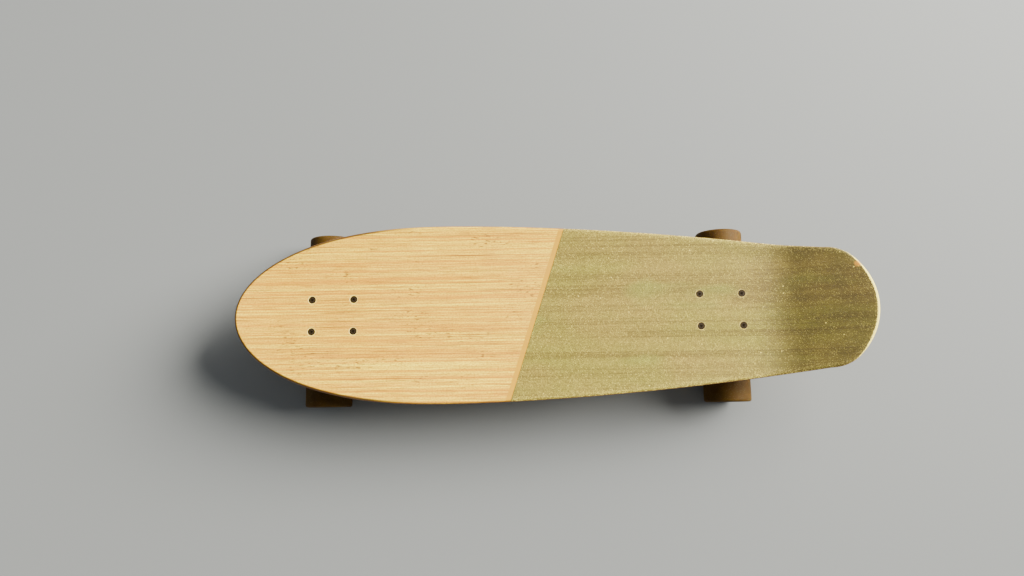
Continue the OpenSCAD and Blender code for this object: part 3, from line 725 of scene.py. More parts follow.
SHIELD_BLACK = painted_finish("shield_black", srgb(84, 86, 92), srgb(30, 31, 36), 0.36)
RISER = soft_finish("riser_rubber", srgb(34, 32, 30), srgb(22, 21, 20), 0.72, 0.35, 90.0)
CUP = soft_finish("pivot_urethane", srgb(48, 46, 43), srgb(32, 30, 28), 0.5, 0.3, 120.0)
CAGE = soft_finish("cage_nylon", srgb(104, 98, 86), srgb(84, 78, 68), 0.5, 0.1, 200.0)
BUSHING = soft_finish("bushing_urethane", srgb(196, 122, 44), srgb(164, 92, 28), 0.32, 0.25, 70.0,
                      Subsurface_Weight=0.25, Subsurface_Radius=(0.006, 0.003, 0.001))
WHEEL = soft_finish("wheel_urethane", srgb(70, 49, 10), srgb(58, 36, 3), 0.66, 0.18, 55.0,
                    Specular_IOR_Level=0.10, Subsurface_Weight=0.60, Subsurface_Radius=(0.018, 0.010, 0.002))


def dress(obj, material, slot, body, *nodes):
    """Gives a finished piece its material, its body and the nodes it stands for; the slot argument is not
    used.
    """
    if material is not None:
        obj.data.materials.clear()
        obj.data.materials.append(material)
    if nodes:
        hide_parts(*nodes)
    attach(obj, body)
    return obj


# ---------------------------------------------------------------- deck


def kick_rise(d):
    run = KICK_BEND_R * math.sin(KICK_ANGLE)
    if d <= 0:
        return 0.0
    if d < run:
        return KICK_BEND_R - math.sqrt(KICK_BEND_R ** 2 - d ** 2)
    return KICK_BEND_R * (1 - math.cos(KICK_ANGLE)) + (d - run) * math.tan(KICK_ANGLE)


def deck_rise(x, y):
    """How far the deck's surface rises above its flat band at a place."""
    lift = NOSE_LIFT * (max(x - LIFT_X, 0.0) / NOSE_LIFT_LEN) ** 2
    out = max((abs(y) - FLAT_HALF) / (HALF_W - FLAT_HALF), 0.0)
    return kick_rise(BEND_X - x) + lift + CONCAVE_RISE * out ** 2


def side_y(x):
    return HALF_W - TAPER_IN * ((WIDEST_X - x) / TAPER_SPAN) ** TAPER_POWER


def left_outline():
    """One side of the deck's outline, from the nose tip round to the tail tip."""
    nose_steps, side_steps, corner_steps, end_steps = 56, 96, 22, 14
    corner_side_y = side_y(-HALF_LEN + TAIL_CORNER_R)
    corner_y = corner_side_y - TAIL_CORNER_R
    end_x = -HALF_LEN + TAIL_END_R
    corner_x = end_x - math.sqrt((TAIL_END_R - TAIL_CORNER_R) ** 2 - corner_y ** 2)
    turn = math.atan2(corner_y, end_x - corner_x)
    drop = side_y(corner_x) - corner_side_y
    points = []
    for i in range(nose_steps + 1):
        a = math.pi / 2 * i / nose_steps
        x = WIDEST_X + (HALF_LEN - WIDEST_X) * math.cos(a) ** (2 / NOSE_POWER)
        points.append((x, HALF_W * math.sin(a)))
    for i in range(1, side_steps + 1):
        x = WIDEST_X + (corner_x - WIDEST_X) * i / side_steps
        points.append((x, side_y(x) - drop * (i / side_steps) ** 2))
    for i in range(corner_steps + 1):
        a = TAIL_CORNER_FROM + (turn - TAIL_CORNER_FROM) * i / corner_steps
        points.append((corner_x - TAIL_CORNER_R * math.cos(a), corner_y + TAIL_CORNER_R * math.sin(a)))
    for i in range(1, end_steps + 1):
        a = turn * (1 - i / end_steps)
        points.append((end_x - TAIL_END_R * math.cos(a), TAIL_END_R * math.sin(a)))
    points[-1] = (points[-1][0], 0.0)
    return points


def whole_outline():
    left = left_outline()
    return np.array(left + [(x, -y) for x, y in left[-2:0:-1]])


OUTLINE = whole_outline()
ahead, behind = np.roll(OUTLINE, -1, 0), np.roll(OUTLINE, 1, 0)
tangent = ahead - behind
OUTWARD = np.stack([tangent[:, 1], -tangent[:, 0]], 1) / np.linalg.norm(tangent, axis=1)[:, None]
OUTWARD *= np.sign((OUTWARD * OUTLINE).sum(1))[:, None]
SPINE = np.zeros_like(OUTLINE)
SPINE[:, 0] = np.clip(OUTLINE[:, 0], -HALF_LEN + SPINE_ENDS[0], HALF_LEN - SPINE_ENDS[1])
INWARD_SHARES = (0.985, 0.955, 0.90, 0.82, 0.72, 0.60, 0.47, 0.33, 0.17, 0.0)


def edge_inset(height):
    """How far the rounded edge is cut back at a height within the deck."""
    near = min(height, DECK_T - height)
    if near >= EDGE_R:
        return 0.0
    depth = EDGE_R - max(near, 0.0)
    return EDGE_R - math.sqrt(max(EDGE_R ** 2 - depth ** 2, 0.0))


def deck_sheet(name, under_ring, wall, top_ring):
    """A closed sheet that follows the deck, from rings of (height, inset) that run in to the spine."""
    rings = []

    def ring(height, inset, share=1.0):
        rim = OUTLINE - OUTWARD * inset
        flat = SPINE + (rim - SPINE) * share
        rings.append([(x, y, DECK_UNDER + height + deck_rise(x, y)) for x, y in flat])

    for share in INWARD_SHARES[::-1]:
        ring(*under_ring, share)
    for height, inset in [under_ring, *wall, top_ring]:
        ring(height, inset)
    for share in INWARD_SHARES:
        ring(*top_ring, share)
    count = len(OUTLINE)
    points = [p for r in rings for p in r]
    faces = []
    for r in range(len(rings) - 1):
        for i in range(count):
            j = (i + 1) % count
            faces.append((r * count + i, r * count + j, (r + 1) * count + j, (r + 1) * count + i))
    return mesh_object(name, points, faces, None, SHEET_ANGLE)


def tag_edge_distance(obj):
    """Stores each vertex's distance from the outline, for materials that follow the edge."""
    mesh = obj.data
    places = np.zeros(len(mesh.vertices) * 3)
    mesh.vertices.foreach_get("co", places)
    places = places.reshape(-1, 3)[:, :2]
    near = np.full(len(places), 1.0)
    for a, b in zip(OUTLINE, np.roll(OUTLINE, -1, 0)):
        run = b - a
        t = np.clip(((places - a) @ run) / (run @ run), 0, 1)
        near = np.minimum(near, np.linalg.norm(places - (a + t[:, None] * run), axis=1))
    attribute = mesh.attributes.new("from_edge", "FLOAT", "POINT")
    attribute.data.foreach_set("value", near)


def bolt_cutter():
    """Clearance holes and countersinks for all eight deck bolts."""
    sink_r = BOLT_HEAD_R + HOLE_GAP
    outline = [(0.0, DECK_UNDER - 2 * MM), (BOLT_R + HOLE_GAP, DECK_UNDER - 2 * MM),
               (BOLT_R + HOLE_GAP, DECK_TOP - sink_r + BOLT_R + HOLE_GAP), (sink_r, DECK_TOP),
               (sink_r, DECK_TOP + 3 * MM), (0.0, DECK_TOP + 3 * MM)]
    holes = []
    for name in TRUCKS:
        centre = middle(f"{name}_deck_bolts")
        for sx in (-0.5, 0.5):
            for sy in (-0.5, 0.5):
                place = Matrix.Translation((centre.x + sx * BOLT_PITCH_X, sy * BOLT_PITCH_Y, 0))
                holes.append(turned("hole", outline, place, 40))
    return joined("bolt_cutter", holes)


def veneer(index, cutter):
    """One sheet of the deck; the two outer ones have finer steps round the edge."""
    low, high = index * PLY_T, (index + 1) * PLY_T
    steps = 9 if index in (0, len(PLIES) - 1) else 3
    wall = []
    for i in range(1, steps):
        t = i / steps
        if index == 0:
            t = 1 - math.cos(t * math.pi / 2)
        elif index == len(PLIES) - 1:
            t = math.sin(t * math.pi / 2)
        height = low + (high - low) * t
        wall.append((height, edge_inset(height)))
    obj = deck_sheet(f"{PLIES[index]}_wood", (low, edge_inset(low)), wall, (high, edge_inset(high)))
    cut(obj, cutter, keep=True)
    tag_edge_distance(obj)
    return obj


def grit_coat(cutter):
    """The coat wraps a little way over the rounded edge."""
    heights = []
    for i in range(7):
        a = math.pi / 2 - COAT_WRAP * (1 - i / 6)
        heights.append((DECK_T - EDGE_R + (EDGE_R + COAT_T) * math.sin(a),
                        EDGE_R - (EDGE_R + COAT_T) * math.cos(a)))
    under = []
    for i in range(5):
        a = math.pi / 2 - COAT_WRAP * i / 4
        under.append((DECK_T - EDGE_R + EDGE_R * math.sin(a), EDGE_R - EDGE_R * math.cos(a)))
    obj = deck_sheet("grip_coat_skin", under[0], under[1:] + heights[:-1], heights[-1])
    work = bmesh.new()
    work.from_mesh(obj.data)
    normal = Vector((math.cos(COAT_SLANT), -math.sin(COAT_SLANT), 0))
    cut_through = bmesh.ops.bisect_plane(work, geom=work.verts[:] + work.edges[:] + work.faces[:],
                                         dist=MERGE_GAP, plane_co=(COAT_EDGE_X, 0, 0), plane_no=normal,
                                         clear_outer=True)
    rim = [e for e in cut_through["geom_cut"] if isinstance(e, bmesh.types.BMEdge)]
    bmesh.ops.holes_fill(work, edges=rim, sides=0)
    bmesh.ops.recalc_face_normals(work, faces=work.faces)
    work.to_mesh(obj.data)
    work.free()
    cut(obj, cutter, keep=True)
    tag_edge_distance(obj)
    return obj


cutter = bolt_cutter()
for index, ply in enumerate(PLIES):
    if ply == "top_veneer":
        finish, slot = BAMBOO_TOP, "bamboo"
    elif ply == "bottom_veneer":
        finish, slot = BAMBOO_UNDER, "bamboo"
    else:
        finish, slot = (CORE_DARK if index % 2 else CORE_LIGHT), "core_ply"
    dress(veneer(index, cutter), finish, slot, "deck", ply)
dress(grit_coat(cutter), COAT, "grit_coat", "deck", "grip_coat")
bpy.data.objects.remove(cutter)

# ---------------------------------------------------------------- trucks


def truck_place(name):
    """From a truck's own axes (x outboard, z = 0 on the mounting face) to the board's."""
    centre = middle(f"{name}_deck_bolts")
    turn = Matrix.Rotation(0 if TRUCKS[name] > 0 else math.pi, 4, "Z")
    return Matrix.Translation((centre.x, 0, PLATE_TOP)) @ turn


RING_CENTRE = truck_place("front").inverted() @ Vector(STEER["front"]["pos_m"])
STEER_AXIS = Vector(STEER["front"]["axis"])
AXLE_AT = truck_place("front").inverted() @ middle("front_axle")
ALONG_KINGPIN = Matrix.Translation(RING_CENTRE) @ Matrix.Rotation(math.pi + KINGPIN_LEAN, 4, "Y")
STEER_TILT = math.atan2(STEER_AXIS.x, STEER_AXIS.z)
ALONG_STEERING = Matrix.Translation(RING_CENTRE) @ Matrix.Rotation(STEER_TILT, 4, "Y")
SEAT_FACE = RING_T / 2 - RING_SEAT
PIN_BORE_R = KINGPIN_R + BORE_GAP
UPPER_END = -SEAT_FACE - UPPER_BUSHING_H
BOSS_FACE = UPPER_END - WASHER_T
LOWER_END = SEAT_FACE + LOWER_BUSHING_H
NUT_FACE = LOWER_END + WASHER_T


def rod(name, radius, start, end, end_radius=None, segments=48):
    """A cylinder or cone between two points, closed at both ends."""
    start, end = Vector(start), Vector(end)
    length = (end - start).length
    turn = (end - start).to_track_quat("Z", "Y").to_matrix().to_4x4()
    tip = radius if end_radius is None else end_radius
    return turned(name, [(0.0, 0.0), (radius, 0.0), (tip, length), (0.0, length)],
                  Matrix.Translation(start) @ turn, segments)


def ball(name, radius, centre, segments=32):
    mesh = bpy.data.meshes.new(name)
    work = bmesh.new()
    bmesh.ops.create_uvsphere(work, u_segments=segments, v_segments=segments // 2, radius=radius,
                              matrix=Matrix.Translation(centre))
    work.to_mesh(mesh)
    work.free()
    return new_object(name, mesh)


def cast(name, solids, voxel, rounds):
    """Melts overlapping solids into one casting with soft fillets."""
    obj = joined(name, solids)
    remesh = obj.modifiers.new("melt", "REMESH")
    remesh.mode = "VOXEL"
    remesh.voxel_size = voxel
    soften = obj.modifiers.new("soften", "SMOOTH")
    soften.factor = 0.5
    soften.iterations = rounds
    return baked(obj, math.radians(180))


def hanger_casting():
    """Yoke ring, pivot stem, webs and the tapered axle housing."""
    axle = AXLE_AT
    ring_out = RING_CENTRE + Vector((math.cos(KINGPIN_LEAN), 0, -math.sin(KINGPIN_LEAN))) * RING_R
    pivot = ALONG_STEERING @ Vector((0, 0, PIVOT_REACH))
    neck = ALONG_STEERING @ Vector((0, 0, PIVOT_REACH - 9 * MM))
    solids = []
    for side in SIDES.values():
        reach = [axle + Vector((0, side * (HANGER_HALF - back * MM), 0)) for back in (6, 8, 0.4)]
        solids.append(rod("housing", HOUSING_R, axle, axle + mm(0, side * 24, 0)))
        solids.append(rod("taper", HOUSING_R, axle + mm(0, side * 22, 0), reach[0], COLLAR_R))
        solids.append(rod("collar", COLLAR_R, reach[1], reach[2], 7.7 * MM))
        # an arm runs from beside the ring out along the housing
        beside = ring_out + mm(-4, side * 11, 1)
        solids.append(rod("arm", 5.6 * MM, beside, axle + mm(-2, side * 56, 2), 4.6 * MM))
    inner = RING_BORE_R - 0.1 * MM
    ring = [(inner, -RING_T / 2, 0.5 * MM), (RING_R, -RING_T / 2, 1.5 * MM), (RING_R, RING_T / 2, 1.5 * MM),
            (inner, RING_T / 2, 0.5 * MM)]
    solids.append(turned("ring", fillet(ring), ALONG_KINGPIN))
    arm_run = math.hypot(axle.x - ring_out.x, axle.z - ring_out.z)
    arm_turn = math.atan2(ring_out.z - axle.z, axle.x - ring_out.x)
    plate = Matrix.Translation(ring_out) @ Matrix.Rotation(arm_turn, 4, "Y")
    gusset = [(-3 * MM, -13 * MM), (arm_run, -50 * MM), (arm_run, 50 * MM), (-3 * MM, 13 * MM)]
    solids.append(prism("gusset", gusset, -2.6 * MM, 2.6 * MM, plate))
    web = [(ring_out.x - 3 * MM, ring_out.z + 4 * MM), (neck.x - 2 * MM, neck.z + 3 * MM),
           (neck.x + 4 * MM, neck.z - 1 * MM), (axle.x + 9 * MM, axle.z + 4 * MM),
           (axle.x - 8 * MM, axle.z + 3 * MM), (ring_out.x - 1 * MM, ring_out.z - 3 * MM)]
    solids.append(prism("web", web, -5.5 * MM, 5.5 * MM, Matrix.Rotation(math.pi / 2, 4, "X")))
    solids.append(rod("stem", 8.0 * MM, axle, neck - STEER_AXIS * 2 * MM, 5.4 * MM))
    solids.append(rod("neck", PIVOT_R - 1 * MM, neck - STEER_AXIS * 3 * MM, pivot))
    obj = cast("hanger_casting", solids, 0.95 * MM, 5)
    seat_r = BUSHING_R + 0.35 * MM
    seats = [(0.0, -30 * MM), (seat_r, -30 * MM), (seat_r, -SEAT_FACE), (RING_BORE_R, -SEAT_FACE),
             (RING_BORE_R, SEAT_FACE), (seat_r, SEAT_FACE), (seat_r, 22 * MM), (0.0, 22 * MM)]
    through = Vector((0, 0.1, 0))
    cut(obj, joined("bores", [turned("seats", seats, ALONG_KINGPIN, 64),
                              rod("axle_bore", AXLE_R + FIT, axle - through, axle + through)]))
    obj = joined("hanger_casting", [obj, ball("tip", PIVOT_R, pivot, 48)])
    smooth(obj.data, math.radians(50))
    return obj


def rounded_rectangle(length, width, radius, steps=10):
    half_x, half_y = length / 2, width / 2
    corners = [(half_x, half_y), (-half_x, half_y), (-half_x, -half_y), (half_x, -half_y)]
    return [tuple(p) for p in fillet([(x, y, radius) for x, y in corners], steps)]


def bolt_places(low, high, radius):
    """Upright cylinders at a truck's four bolt places, in the truck's axes."""
    return [rod("bolt_hole", radius, (sx * BOLT_PITCH_X / 2, sy * BOLT_PITCH_Y / 2, low),
                (sx * BOLT_PITCH_X / 2, sy * BOLT_PITCH_Y / 2, high), segments=40)
            for sx in (-1, 1) for sy in (-1, 1)]


def baseplate_casting():
    """Flange, kingpin boss, pivot boss and the ribs between them."""
    flange = prism("flange", rounded_rectangle(*PLATE), -BASE_T, 0)
    bevelled(flange, 1.2 * MM)
    boss_top = -34 * MM
    boss = turned("boss", fillet([(0.0, boss_top, 0), (16.5 * MM, boss_top, 0),
                                  (15.2 * MM, BOSS_FACE, 1.2 * MM), (0.0, BOSS_FACE, 0)]), ALONG_KINGPIN)
    cup_boss_r = 12.2 * MM
    cup_low, cup_high = PIVOT_REACH - 5 * MM, PIVOT_REACH + 12 * MM
    cup_boss = turned("cup_boss", fillet([(0.0, cup_low, 0), (cup_boss_r, cup_low, 1.5 * MM),
                                          (cup_boss_r + 1 * MM, cup_high, 0), (0.0, cup_high, 0)]),
                      ALONG_STEERING)
    ribs = []
    for side in (-1, 1):
        start = ALONG_KINGPIN @ Vector((0, side * 9 * MM, BOSS_FACE - 8 * MM))
        end = ALONG_STEERING @ Vector((0, side * 7 * MM, PIVOT_REACH))
        ribs.append(rod("rib", 3.2 * MM, start, end, 3.2 * MM, 24))
    obj = cast("baseplate_casting", [flange, boss, cup_boss, *ribs], 0.8 * MM, 4)
    holes = bolt_places(-20 * MM, 5 * MM, BOLT_R + HOLE_GAP)
    holes += bolt_places(-16 * MM, -BASE_T, 6.3 * MM)
    holes.append(turned("kingpin_hole", column(KINGPIN_R + 0.05 * MM, -60 * MM, 0.0), ALONG_KINGPIN, 48))
    pocket_end = BOSS_FACE - KINGPIN_HEAD_T
    holes.append(prism("head_pocket", hexagon(14.6 * MM), -60 * MM, pocket_end, ALONG_KINGPIN))
    cup_r = PIVOT_R + 2.45 * MM
    holes.append(ball("cup_seat", cup_r, ALONG_STEERING @ Vector((0, 0, PIVOT_REACH)), 48))
    holes.append(turned("cup_mouth", column(cup_r, PIVOT_REACH - 9 * MM, PIVOT_REACH), ALONG_STEERING, 48))
    holes.append(prism("above", rounded_rectangle(0.2, 0.2, 0.01, 2), 0.0, 0.05))
    for hole in holes:
        cut(obj, hole)
    smooth(obj.data, FIXING_ANGLE)
    return obj


def bushing(name, profile):
    return turned(name, fillet(profile, 6), ALONG_KINGPIN, 96)


def upper_bushing():
    """Barrel with softly rounded rims and a slight waist at each end."""
    r, low, high = BUSHING_R, UPPER_END, -SEAT_FACE
    mid = (low + high) / 2
    return bushing("upper_bushing", [
        (PIN_BORE_R, low, 0.4 * MM), (r - 1.1 * MM, low, 1.2 * MM), (r, mid - 3 * MM, 3 * MM),
        (r, mid + 3 * MM, 3 * MM), (r - 1.1 * MM, high, 1.2 * MM), (PIN_BORE_R, high, 0.4 * MM)])


def lower_bushing():
    """Cone: wide against the ring, narrow against its washer."""
    r, low, high = BUSHING_R - 0.3 * MM, SEAT_FACE, LOWER_END
    return bushing("lower_bushing", [
        (PIN_BORE_R, low, 0.4 * MM), (r, low, 0.8 * MM), (r, low + 4 * MM, 1.5 * MM),
        (r - 2.9 * MM, high, 1.3 * MM), (PIN_BORE_R, high, 0.4 * MM)])


def pressed_washer(name, radius, low):
    """A washer whose outer edge is rolled over and whose bore is broken."""
    high = low + WASHER_T
    return turned(name, fillet([
        (PIN_BORE_R, low, 0.2 * MM), (radius, low, 0.5 * MM), (radius, high, 0.2 * MM),
        (radius - 0.7 * MM, high, 0.2 * MM), (radius - 0.9 * MM, high, 0.3 * MM),
        (PIN_BORE_R, high, 0.2 * MM)]), ALONG_KINGPIN, 96)


def kingpin():
    head_face = BOSS_FACE - KINGPIN_HEAD_T
    head = prism("head", hexagon(KINGPIN_NUT[0]), head_face - KINGPIN_HEAD_T, head_face, ALONG_KINGPIN)
    bevelled(head, 0.4 * MM, 2)
    thread_low = NUT_FACE - 4 * MM
    shank = turned("shank", column(KINGPIN_R, head_face - 1 * MM, thread_low), ALONG_KINGPIN, 48)
    end = thread("kingpin_thread", KINGPIN_R, FINE_PITCH, thread_low, NUT_FACE + KINGPIN_END, ALONG_KINGPIN)
    return joined("kingpin", [head, shank, end])


def riser_pad():
    """Thin rubber pad with a softly rounded edge."""
    pad = prism("riser_pad", rounded_rectangle(*PLATE), 0, RISER_T)
    bevelled(pad, 0.5 * MM)
    for hole in bolt_places(-5 * MM, 8 * MM, BOLT_R + HOLE_GAP):
        cut(pad, hole)
    return pad


def deck_bolt():
    """Countersunk bolt with a cross recess, its head flush with z = 0."""
    grip_end, thread_end = -19.5 * MM, 12.75 * MM
    head = turned("head", fillet([
        (0.0, 0.0, 0), (BOLT_HEAD_R - 0.1 * MM, 0.0, 0.25 * MM), (BOLT_HEAD_R, -0.35 * MM, 0.1 * MM),
        (BOLT_GRIP_R, -2.8 * MM, 0.3 * MM), (BOLT_GRIP_R, grip_end, 0), (0.0, grip_end, 0)]), segments=48)
    wing, half_slot, deep, tapered = 2.5 * MM, 0.55 * MM, 2.1 * MM, 0.55
    slot_outline = [(-wing, -half_slot), (wing, -half_slot), (wing, half_slot), (-wing, half_slot)]
    for turn in (0, math.pi / 2):
        slot = prism("slot", slot_outline, -deep, 1 * MM, Matrix.Rotation(turn + 0.5, 4, "Z"))
        for v in [v for v in slot.data.vertices if v.co.z < 0]:
            v.co.x *= tapered
            v.co.y *= tapered
        cut(head, slot)
    end = thread("deck_bolt_thread", BOLT_R, BOLT_PITCH, 0, thread_end, segments=24)
    end.data.transform(Matrix.Translation((0, 0, grip_end + 0.5 * MM)) @ Matrix.Rotation(math.pi, 4, "X"))
    bolt = joined("deck_bolt", [head, end])
    smooth(bolt.data, FIXING_ANGLE)
    return bolt


# ---------------------------------------------------------------- repeated pieces by geometry nodes


class Geometry(Nodes):
    """A geometry tree with named inputs, ending in Realize Instances and Set Material."""

    def __init__(self, name, inputs):
        tree = bpy.data.node_groups.new(name, "GeometryNodeTree")
        super().__init__(tree)
        for label, kind in inputs.items():
            tree.interface.new_socket(label, in_out="INPUT", socket_type=f"NodeSocket{kind}")
        tree.interface.new_socket("Geometry", in_out="OUTPUT", socket_type="NodeSocketGeometry")
        self.given = self.add("NodeGroupInput").outputs
        self.result = self.add("NodeGroupOutput")

    def move(self, geometry, way, value):
        return self.add("GeometryNodeTransform", {"Geometry": geometry, way: value}).outputs[0]

    def stand(self, points, piece):
        return self.add("GeometryNodeInstanceOnPoints", {"Points": points, "Instance": piece}).outputs[0]

    def close(self, geometry, finish):
        real = self.add("GeometryNodeRealizeInstances", {"Geometry": geometry}).outputs[0]
        done = self.add("GeometryNodeSetMaterial", {"Geometry": real, "Material": finish}).outputs[0]
        self.feed(self.result.inputs["Geometry"], done)
        return self.tree


def pattern_tree():
    """Stands a fixing at each corner of a rectangular pattern."""
    g = Geometry("fixings_on_pattern", {"Fixing": "Object", "Pitch along": "Float", "Pitch across": "Float",
                                        "Place": "Vector", "Finish": "Material"})
    grid = g.add("GeometryNodeMeshGrid", {"Size X": g.given["Pitch along"], "Size Y": g.given["Pitch across"],
                                          "Vertices X": 2, "Vertices Y": 2}).outputs["Mesh"]
    moved = g.move(grid, "Translation", g.given["Place"])
    fixing = g.add("GeometryNodeObjectInfo", {"Object": g.given["Fixing"]}).outputs["Geometry"]
    return g.close(g.stand(moved, fixing), g.given["Finish"])


def ball_race_tree():
    """Two rings of bearing balls, one for each bearing of a wheel, about the Y axis."""
    g = Geometry("ball_race", {"Balls": "Int", "Ball radius": "Float", "Pitch radius": "Float",
                               "Spread": "Float", "Place": "Vector", "Finish": "Material"})
    circle = g.add("GeometryNodeMeshCircle", {"Vertices": g.given["Balls"],
                                              "Radius": g.given["Pitch radius"]})
    sphere = g.add("GeometryNodeMeshIcoSphere", {"Radius": g.given["Ball radius"], "Subdivisions": 4})
    ring = g.stand(circle.outputs[0], sphere.outputs["Mesh"])
    upright = g.move(ring, "Rotation", (math.pi / 2, 0, 0))
    rows = g.add("GeometryNodeJoinGeometry")
    for sign in (-1.0, 1.0):
        shift = g.join(0.0, g.times(g.given["Spread"], sign), 0.0)
        g.feed(rows.inputs[0], g.move(upright, "Translation", shift))
    placed = g.move(rows.outputs[0], "Translation", g.given["Place"])
    return g.close(placed, g.given["Finish"])


def grown(name, tree, values):
    """A plain mesh from a geometry tree: the modifier's inputs are set by identifier, then applied."""
    obj = new_object(name, bpy.data.meshes.new(name))
    modifier = obj.modifiers.new("grow", "NODES")
    modifier.node_group = tree
    for item in tree.interface.items_tree:
        if item.in_out == "INPUT" and item.name in values:
            modifier[item.identifier] = values[item.name]
    baked(obj, 0)
    return obj


PATTERN = pattern_tree()
BALL_RACE = ball_race_tree()


# ---------------------------------------------------------------- wheels and bearings


def on_axle(centre, side):
    """From a hub's own axes (z outboard, z = 0 in its middle) to the board's."""
    return Matrix.Translation(centre) @ Matrix.Rotation(-math.pi / 2 * side, 4, "X")


def wheel_profile():
    """The urethane's section: tread, rounded lips, face, dish, bearing seats and shoulder."""
    r = size("front_left_wheel").z / 2
    face = size("front_left_wheel").y / 2
    dish_r = r - WHEEL_LIP_R - WHEEL_FACE_W
    seat_r = BEARING_R + FIT
    shoulder_r = BEARING_R - 1.6 * MM
    dish_foot = BEARING_R + 1.6 * MM
    hub, seat_end = HUB_W / 2, HUB_W / 2 - BEARING_W
    half = [(r, face, WHEEL_LIP_R), (dish_r, face, 1.6 * MM), (dish_foot + 1 * MM, hub + 1.4 * MM, 2.5 * MM),
            (dish_foot, hub, 0.4 * MM), (seat_r, hub, 0.3 * MM), (seat_r, seat_end, 0),
            (shoulder_r, seat_end, 0.4 * MM)]
    return fillet(half + [(x, -y, c) for x, y, c in half[::-1]], 10)


def shield_profile():
    """A pressed shield: a crimped outer rim, a sunk band and a turned-in bore."""
    face = BEARING_W / 2 - 0.15 * MM
    edge, band = face - 0.02 * MM, face - 0.16 * MM
    line = [(SHIELD_R, face - 0.1 * MM), (SHIELD_R - 0.5 * MM, edge), (SHIELD_R - 0.9 * MM, band),
            (SHIELD_BORE_R + 0.7 * MM, band), (SHIELD_BORE_R + 0.3 * MM, edge),
            (SHIELD_BORE_R, face - 0.05 * MM)]
    return line + [(r, h - SHIELD_T) for r, h in line[::-1]]


wheel_outline = wheel_profile()
shield_outline = shield_profile()
for truck in TRUCKS:
    for side, sign in SIDES.items():
        prefix = f"{truck}_{side}"
        centre = middle(f"{prefix}_wheel")
        place = on_axle(centre, sign)
        body = f"{prefix}_wheel_set"
        dress(turned(f"{prefix}_wheel_tyre", wheel_outline, place, 144), WHEEL, "wheel_urethane", body,
              f"{prefix}_wheel")
        shields = []
        for bearing in (-1, 1):
            for face in (0, 1):
                shift = Matrix.Translation((0, 0, bearing * (HUB_W - BEARING_W) / 2))
                shields.append(turned("shield", shield_outline,
                                      place @ shift @ Matrix.Rotation(math.pi * face, 4, "X"), 72))
        dress(joined(f"{prefix}_shields", shields), SHIELD_BLACK, "shield_black", body,
              f"{prefix}_bearing_shields")
        balls = grown(f"{prefix}_balls", BALL_RACE, {
            "Balls": BALLS, "Ball radius": BALL_R, "Pitch radius": RACE_R,
            "Spread": (HUB_W - BEARING_W) / 2, "Place": tuple(centre), "Finish": BEARING_STEEL})
        smooth(balls.data, math.pi)
        dress(balls, None, "bearing_steel", f"{prefix}_ball_set", f"{prefix}_bearing_balls")

# ---------------------------------------------------------------- truck assembly


def axle_rod(name):
    """The axle: a plain middle and a thread at each end."""
    centre = middle(f"{name}_axle")
    half = size(f"{name}_axle").y / 2
    plain = Vector((0, half - AXLE_THREAD, 0))
    rods = [rod("plain", AXLE_R, centre - plain, centre + plain)]
    for sign in SIDES.values():
        place = on_axle(centre, sign)
        rods.append(thread("axle_thread", AXLE_R, FINE_PITCH, half - AXLE_THREAD, half, place))
    return joined(f"{name}_axle_rod", rods)


def axle_nuts(name):
    nuts = []
    for side, sign in SIDES.items():
        hub = middle(f"{name}_{side}_wheel")
        place = on_axle(hub, sign) @ Matrix.Translation((0, 0, HUB_W / 2 + SPEED_WASHER_T))
        nuts.append(hex_nut("axle_nut", AXLE_NUT, AXLE_R, place))
    return joined(f"{name}_axle_nuts_hex", nuts)


truck_pieces = [
    (riser_pad(), RISER, "riser_rubber", "deck", "riser_pad"),
    (baseplate_casting(), CASTING, "cast_aluminium", "deck", "baseplate"),
    (upper_bushing(), BUSHING, "bushing_urethane", "deck", "upper_bushing"),
    (lower_bushing(), BUSHING, "bushing_urethane", "deck", "lower_bushing"),
    (joined("bushing_cups", [pressed_washer("upper_cup", BUSHING_R, BOSS_FACE),
                             pressed_washer("lower_cup", BUSHING_R - 2.4 * MM, LOWER_END)]),
     ZINC, "zinc_steel", "deck", "bushing_washers"),
    (kingpin(), DARK_STEEL, "dark_steel", "deck", "kingpin"),
    (hex_nut("kingpin_nut", KINGPIN_NUT, KINGPIN_R, ALONG_KINGPIN @ Matrix.Translation((0, 0, NUT_FACE))),
     DARK_STEEL, "dark_steel", "deck", "kingpin_nut"),
    (hanger_casting(), CASTING, "cast_aluminium", "hanger_set", "hanger"),
]
for piece, finish, slot, body, node in truck_pieces:
    for truck in TRUCKS:
        obj = copied(f"{truck}_{node}_made", piece, truck_place(truck))
        dress(obj, finish, slot, body if body == "deck" else f"{truck}_{body}", f"{truck}_{node}")
    bpy.data.objects.remove(piece)

bolt = deck_bolt()
nut = hex_nut("deck_nut", DECK_NUT, BOLT_R, Matrix.Rotation(math.pi, 4, "X"))
for truck in TRUCKS:
    centre = middle(f"{truck}_deck_bolts")
    for fixing, node, height in ((bolt, "deck_bolts", DECK_TOP), (nut, "deck_nuts", PLATE_TOP - BASE_T)):
        obj = grown(f"{truck}_{node}_made", PATTERN, {
            "Fixing": fixing, "Pitch along": BOLT_PITCH_X, "Pitch across": BOLT_PITCH_Y,
            "Place": (centre.x, 0.0, height), "Finish": BLACK_OXIDE})
        smooth(obj.data, FIXING_ANGLE)
        dress(obj, None, "black_steel", "deck", f"{truck}_{node}")
    dress(axle_rod(truck), ZINC, "zinc_steel", f"{truck}_hanger_set", f"{truck}_axle")
    dress(axle_nuts(truck), ZINC, "zinc_steel", f"{truck}_hanger_set", f"{truck}_axle_nuts")
bpy.data.objects.remove(bolt)
bpy.data.objects.remove(nut)

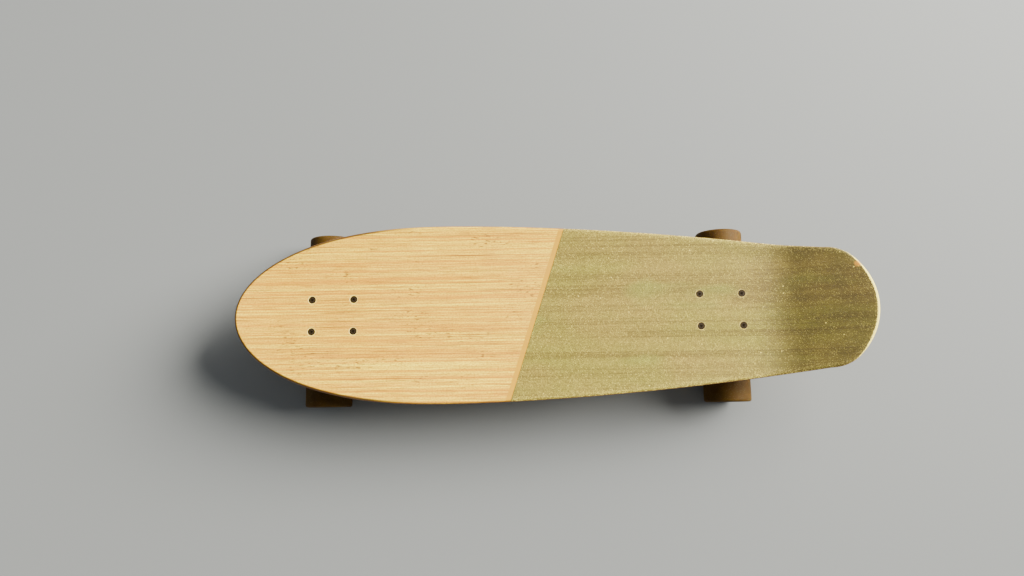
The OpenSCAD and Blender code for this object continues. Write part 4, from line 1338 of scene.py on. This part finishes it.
# CAD nodes whose shape is already right keep it and take their finish here
KEPT = {"pivot_cup": CUP, "inner_rings": BEARING_STEEL, "bearing_spacers": ZINC, "speed_washers": ZINC,
        "outer_rings": BEARING_STEEL, "bearing_cages": CAGE}
for name, node in frame["nodes"].items():
    for kind, finish in KEPT.items():
        if name.endswith(kind):
            node.data.materials.clear()
            node.data.materials.append(finish)

# ---------------------------------------------------------------- floor, light and camera


def floor(reach):
    """A plain matt floor, stage and not object."""
    mesh = bpy.data.meshes.new("floor")
    mesh.from_pydata([(-reach, -reach, 0), (reach, -reach, 0), (reach, reach, 0), (-reach, reach, 0)], [],
                     [(0, 1, 2, 3)])
    obj = new_object("floor", mesh)
    material, _, shader, _ = start_finish("floor", 0.9)
    shader.inputs["Base Color"].default_value = srgb(109, 112, 112)
    obj.data.materials.append(material)


def light(name, kind, direction, distance, energy, **settings):
    """A warm white light that looks back along its direction at the origin."""
    data = bpy.data.lights.new(name, kind)
    data.energy = energy
    data.color = (1.0, 0.96, 0.88)
    for key, value in settings.items():
        setattr(data, key, value)
    obj = bpy.data.objects.new(name, data)
    way = Vector(direction).normalized()
    obj.location = way * distance
    obj.rotation_mode = "QUATERNION"
    obj.rotation_quaternion = way.to_track_quat("Z", "Y")
    bpy.context.scene.collection.objects.link(obj)


def sky(color, strength):
    world = bpy.data.worlds.new("studio")
    world.use_nodes = True
    background = world.node_tree.nodes["Background"]
    background.inputs["Color"].default_value = color
    background.inputs["Strength"].default_value = strength
    bpy.context.scene.world = world


def camera():
    """Almost straight above the board's middle, and tipped a little towards its right-hand edge."""
    data = bpy.data.cameras.new("camera")
    data.lens = 26.0
    data.sensor_width = 36.0
    obj = bpy.data.objects.new("camera", data)
    obj.location = (0.0322, 0.1212, 1.0455)
    obj.rotation_euler = [math.radians(a) for a in (9.227, 1.043, 179.233)]
    bpy.context.scene.collection.objects.link(obj)
    bpy.context.scene.camera = obj


floor(30.0)
light("key", "SUN", (-0.82, -0.30, 0.53), 3.0, 15.6, angle=math.radians(36))
light("glow", "AREA", (-0.70, -0.60, 0.62), 1.7, 60.0, shape="DISK", size=1.2)
sky((0.93, 0.96, 1.0, 1.0), 0.40)
camera()
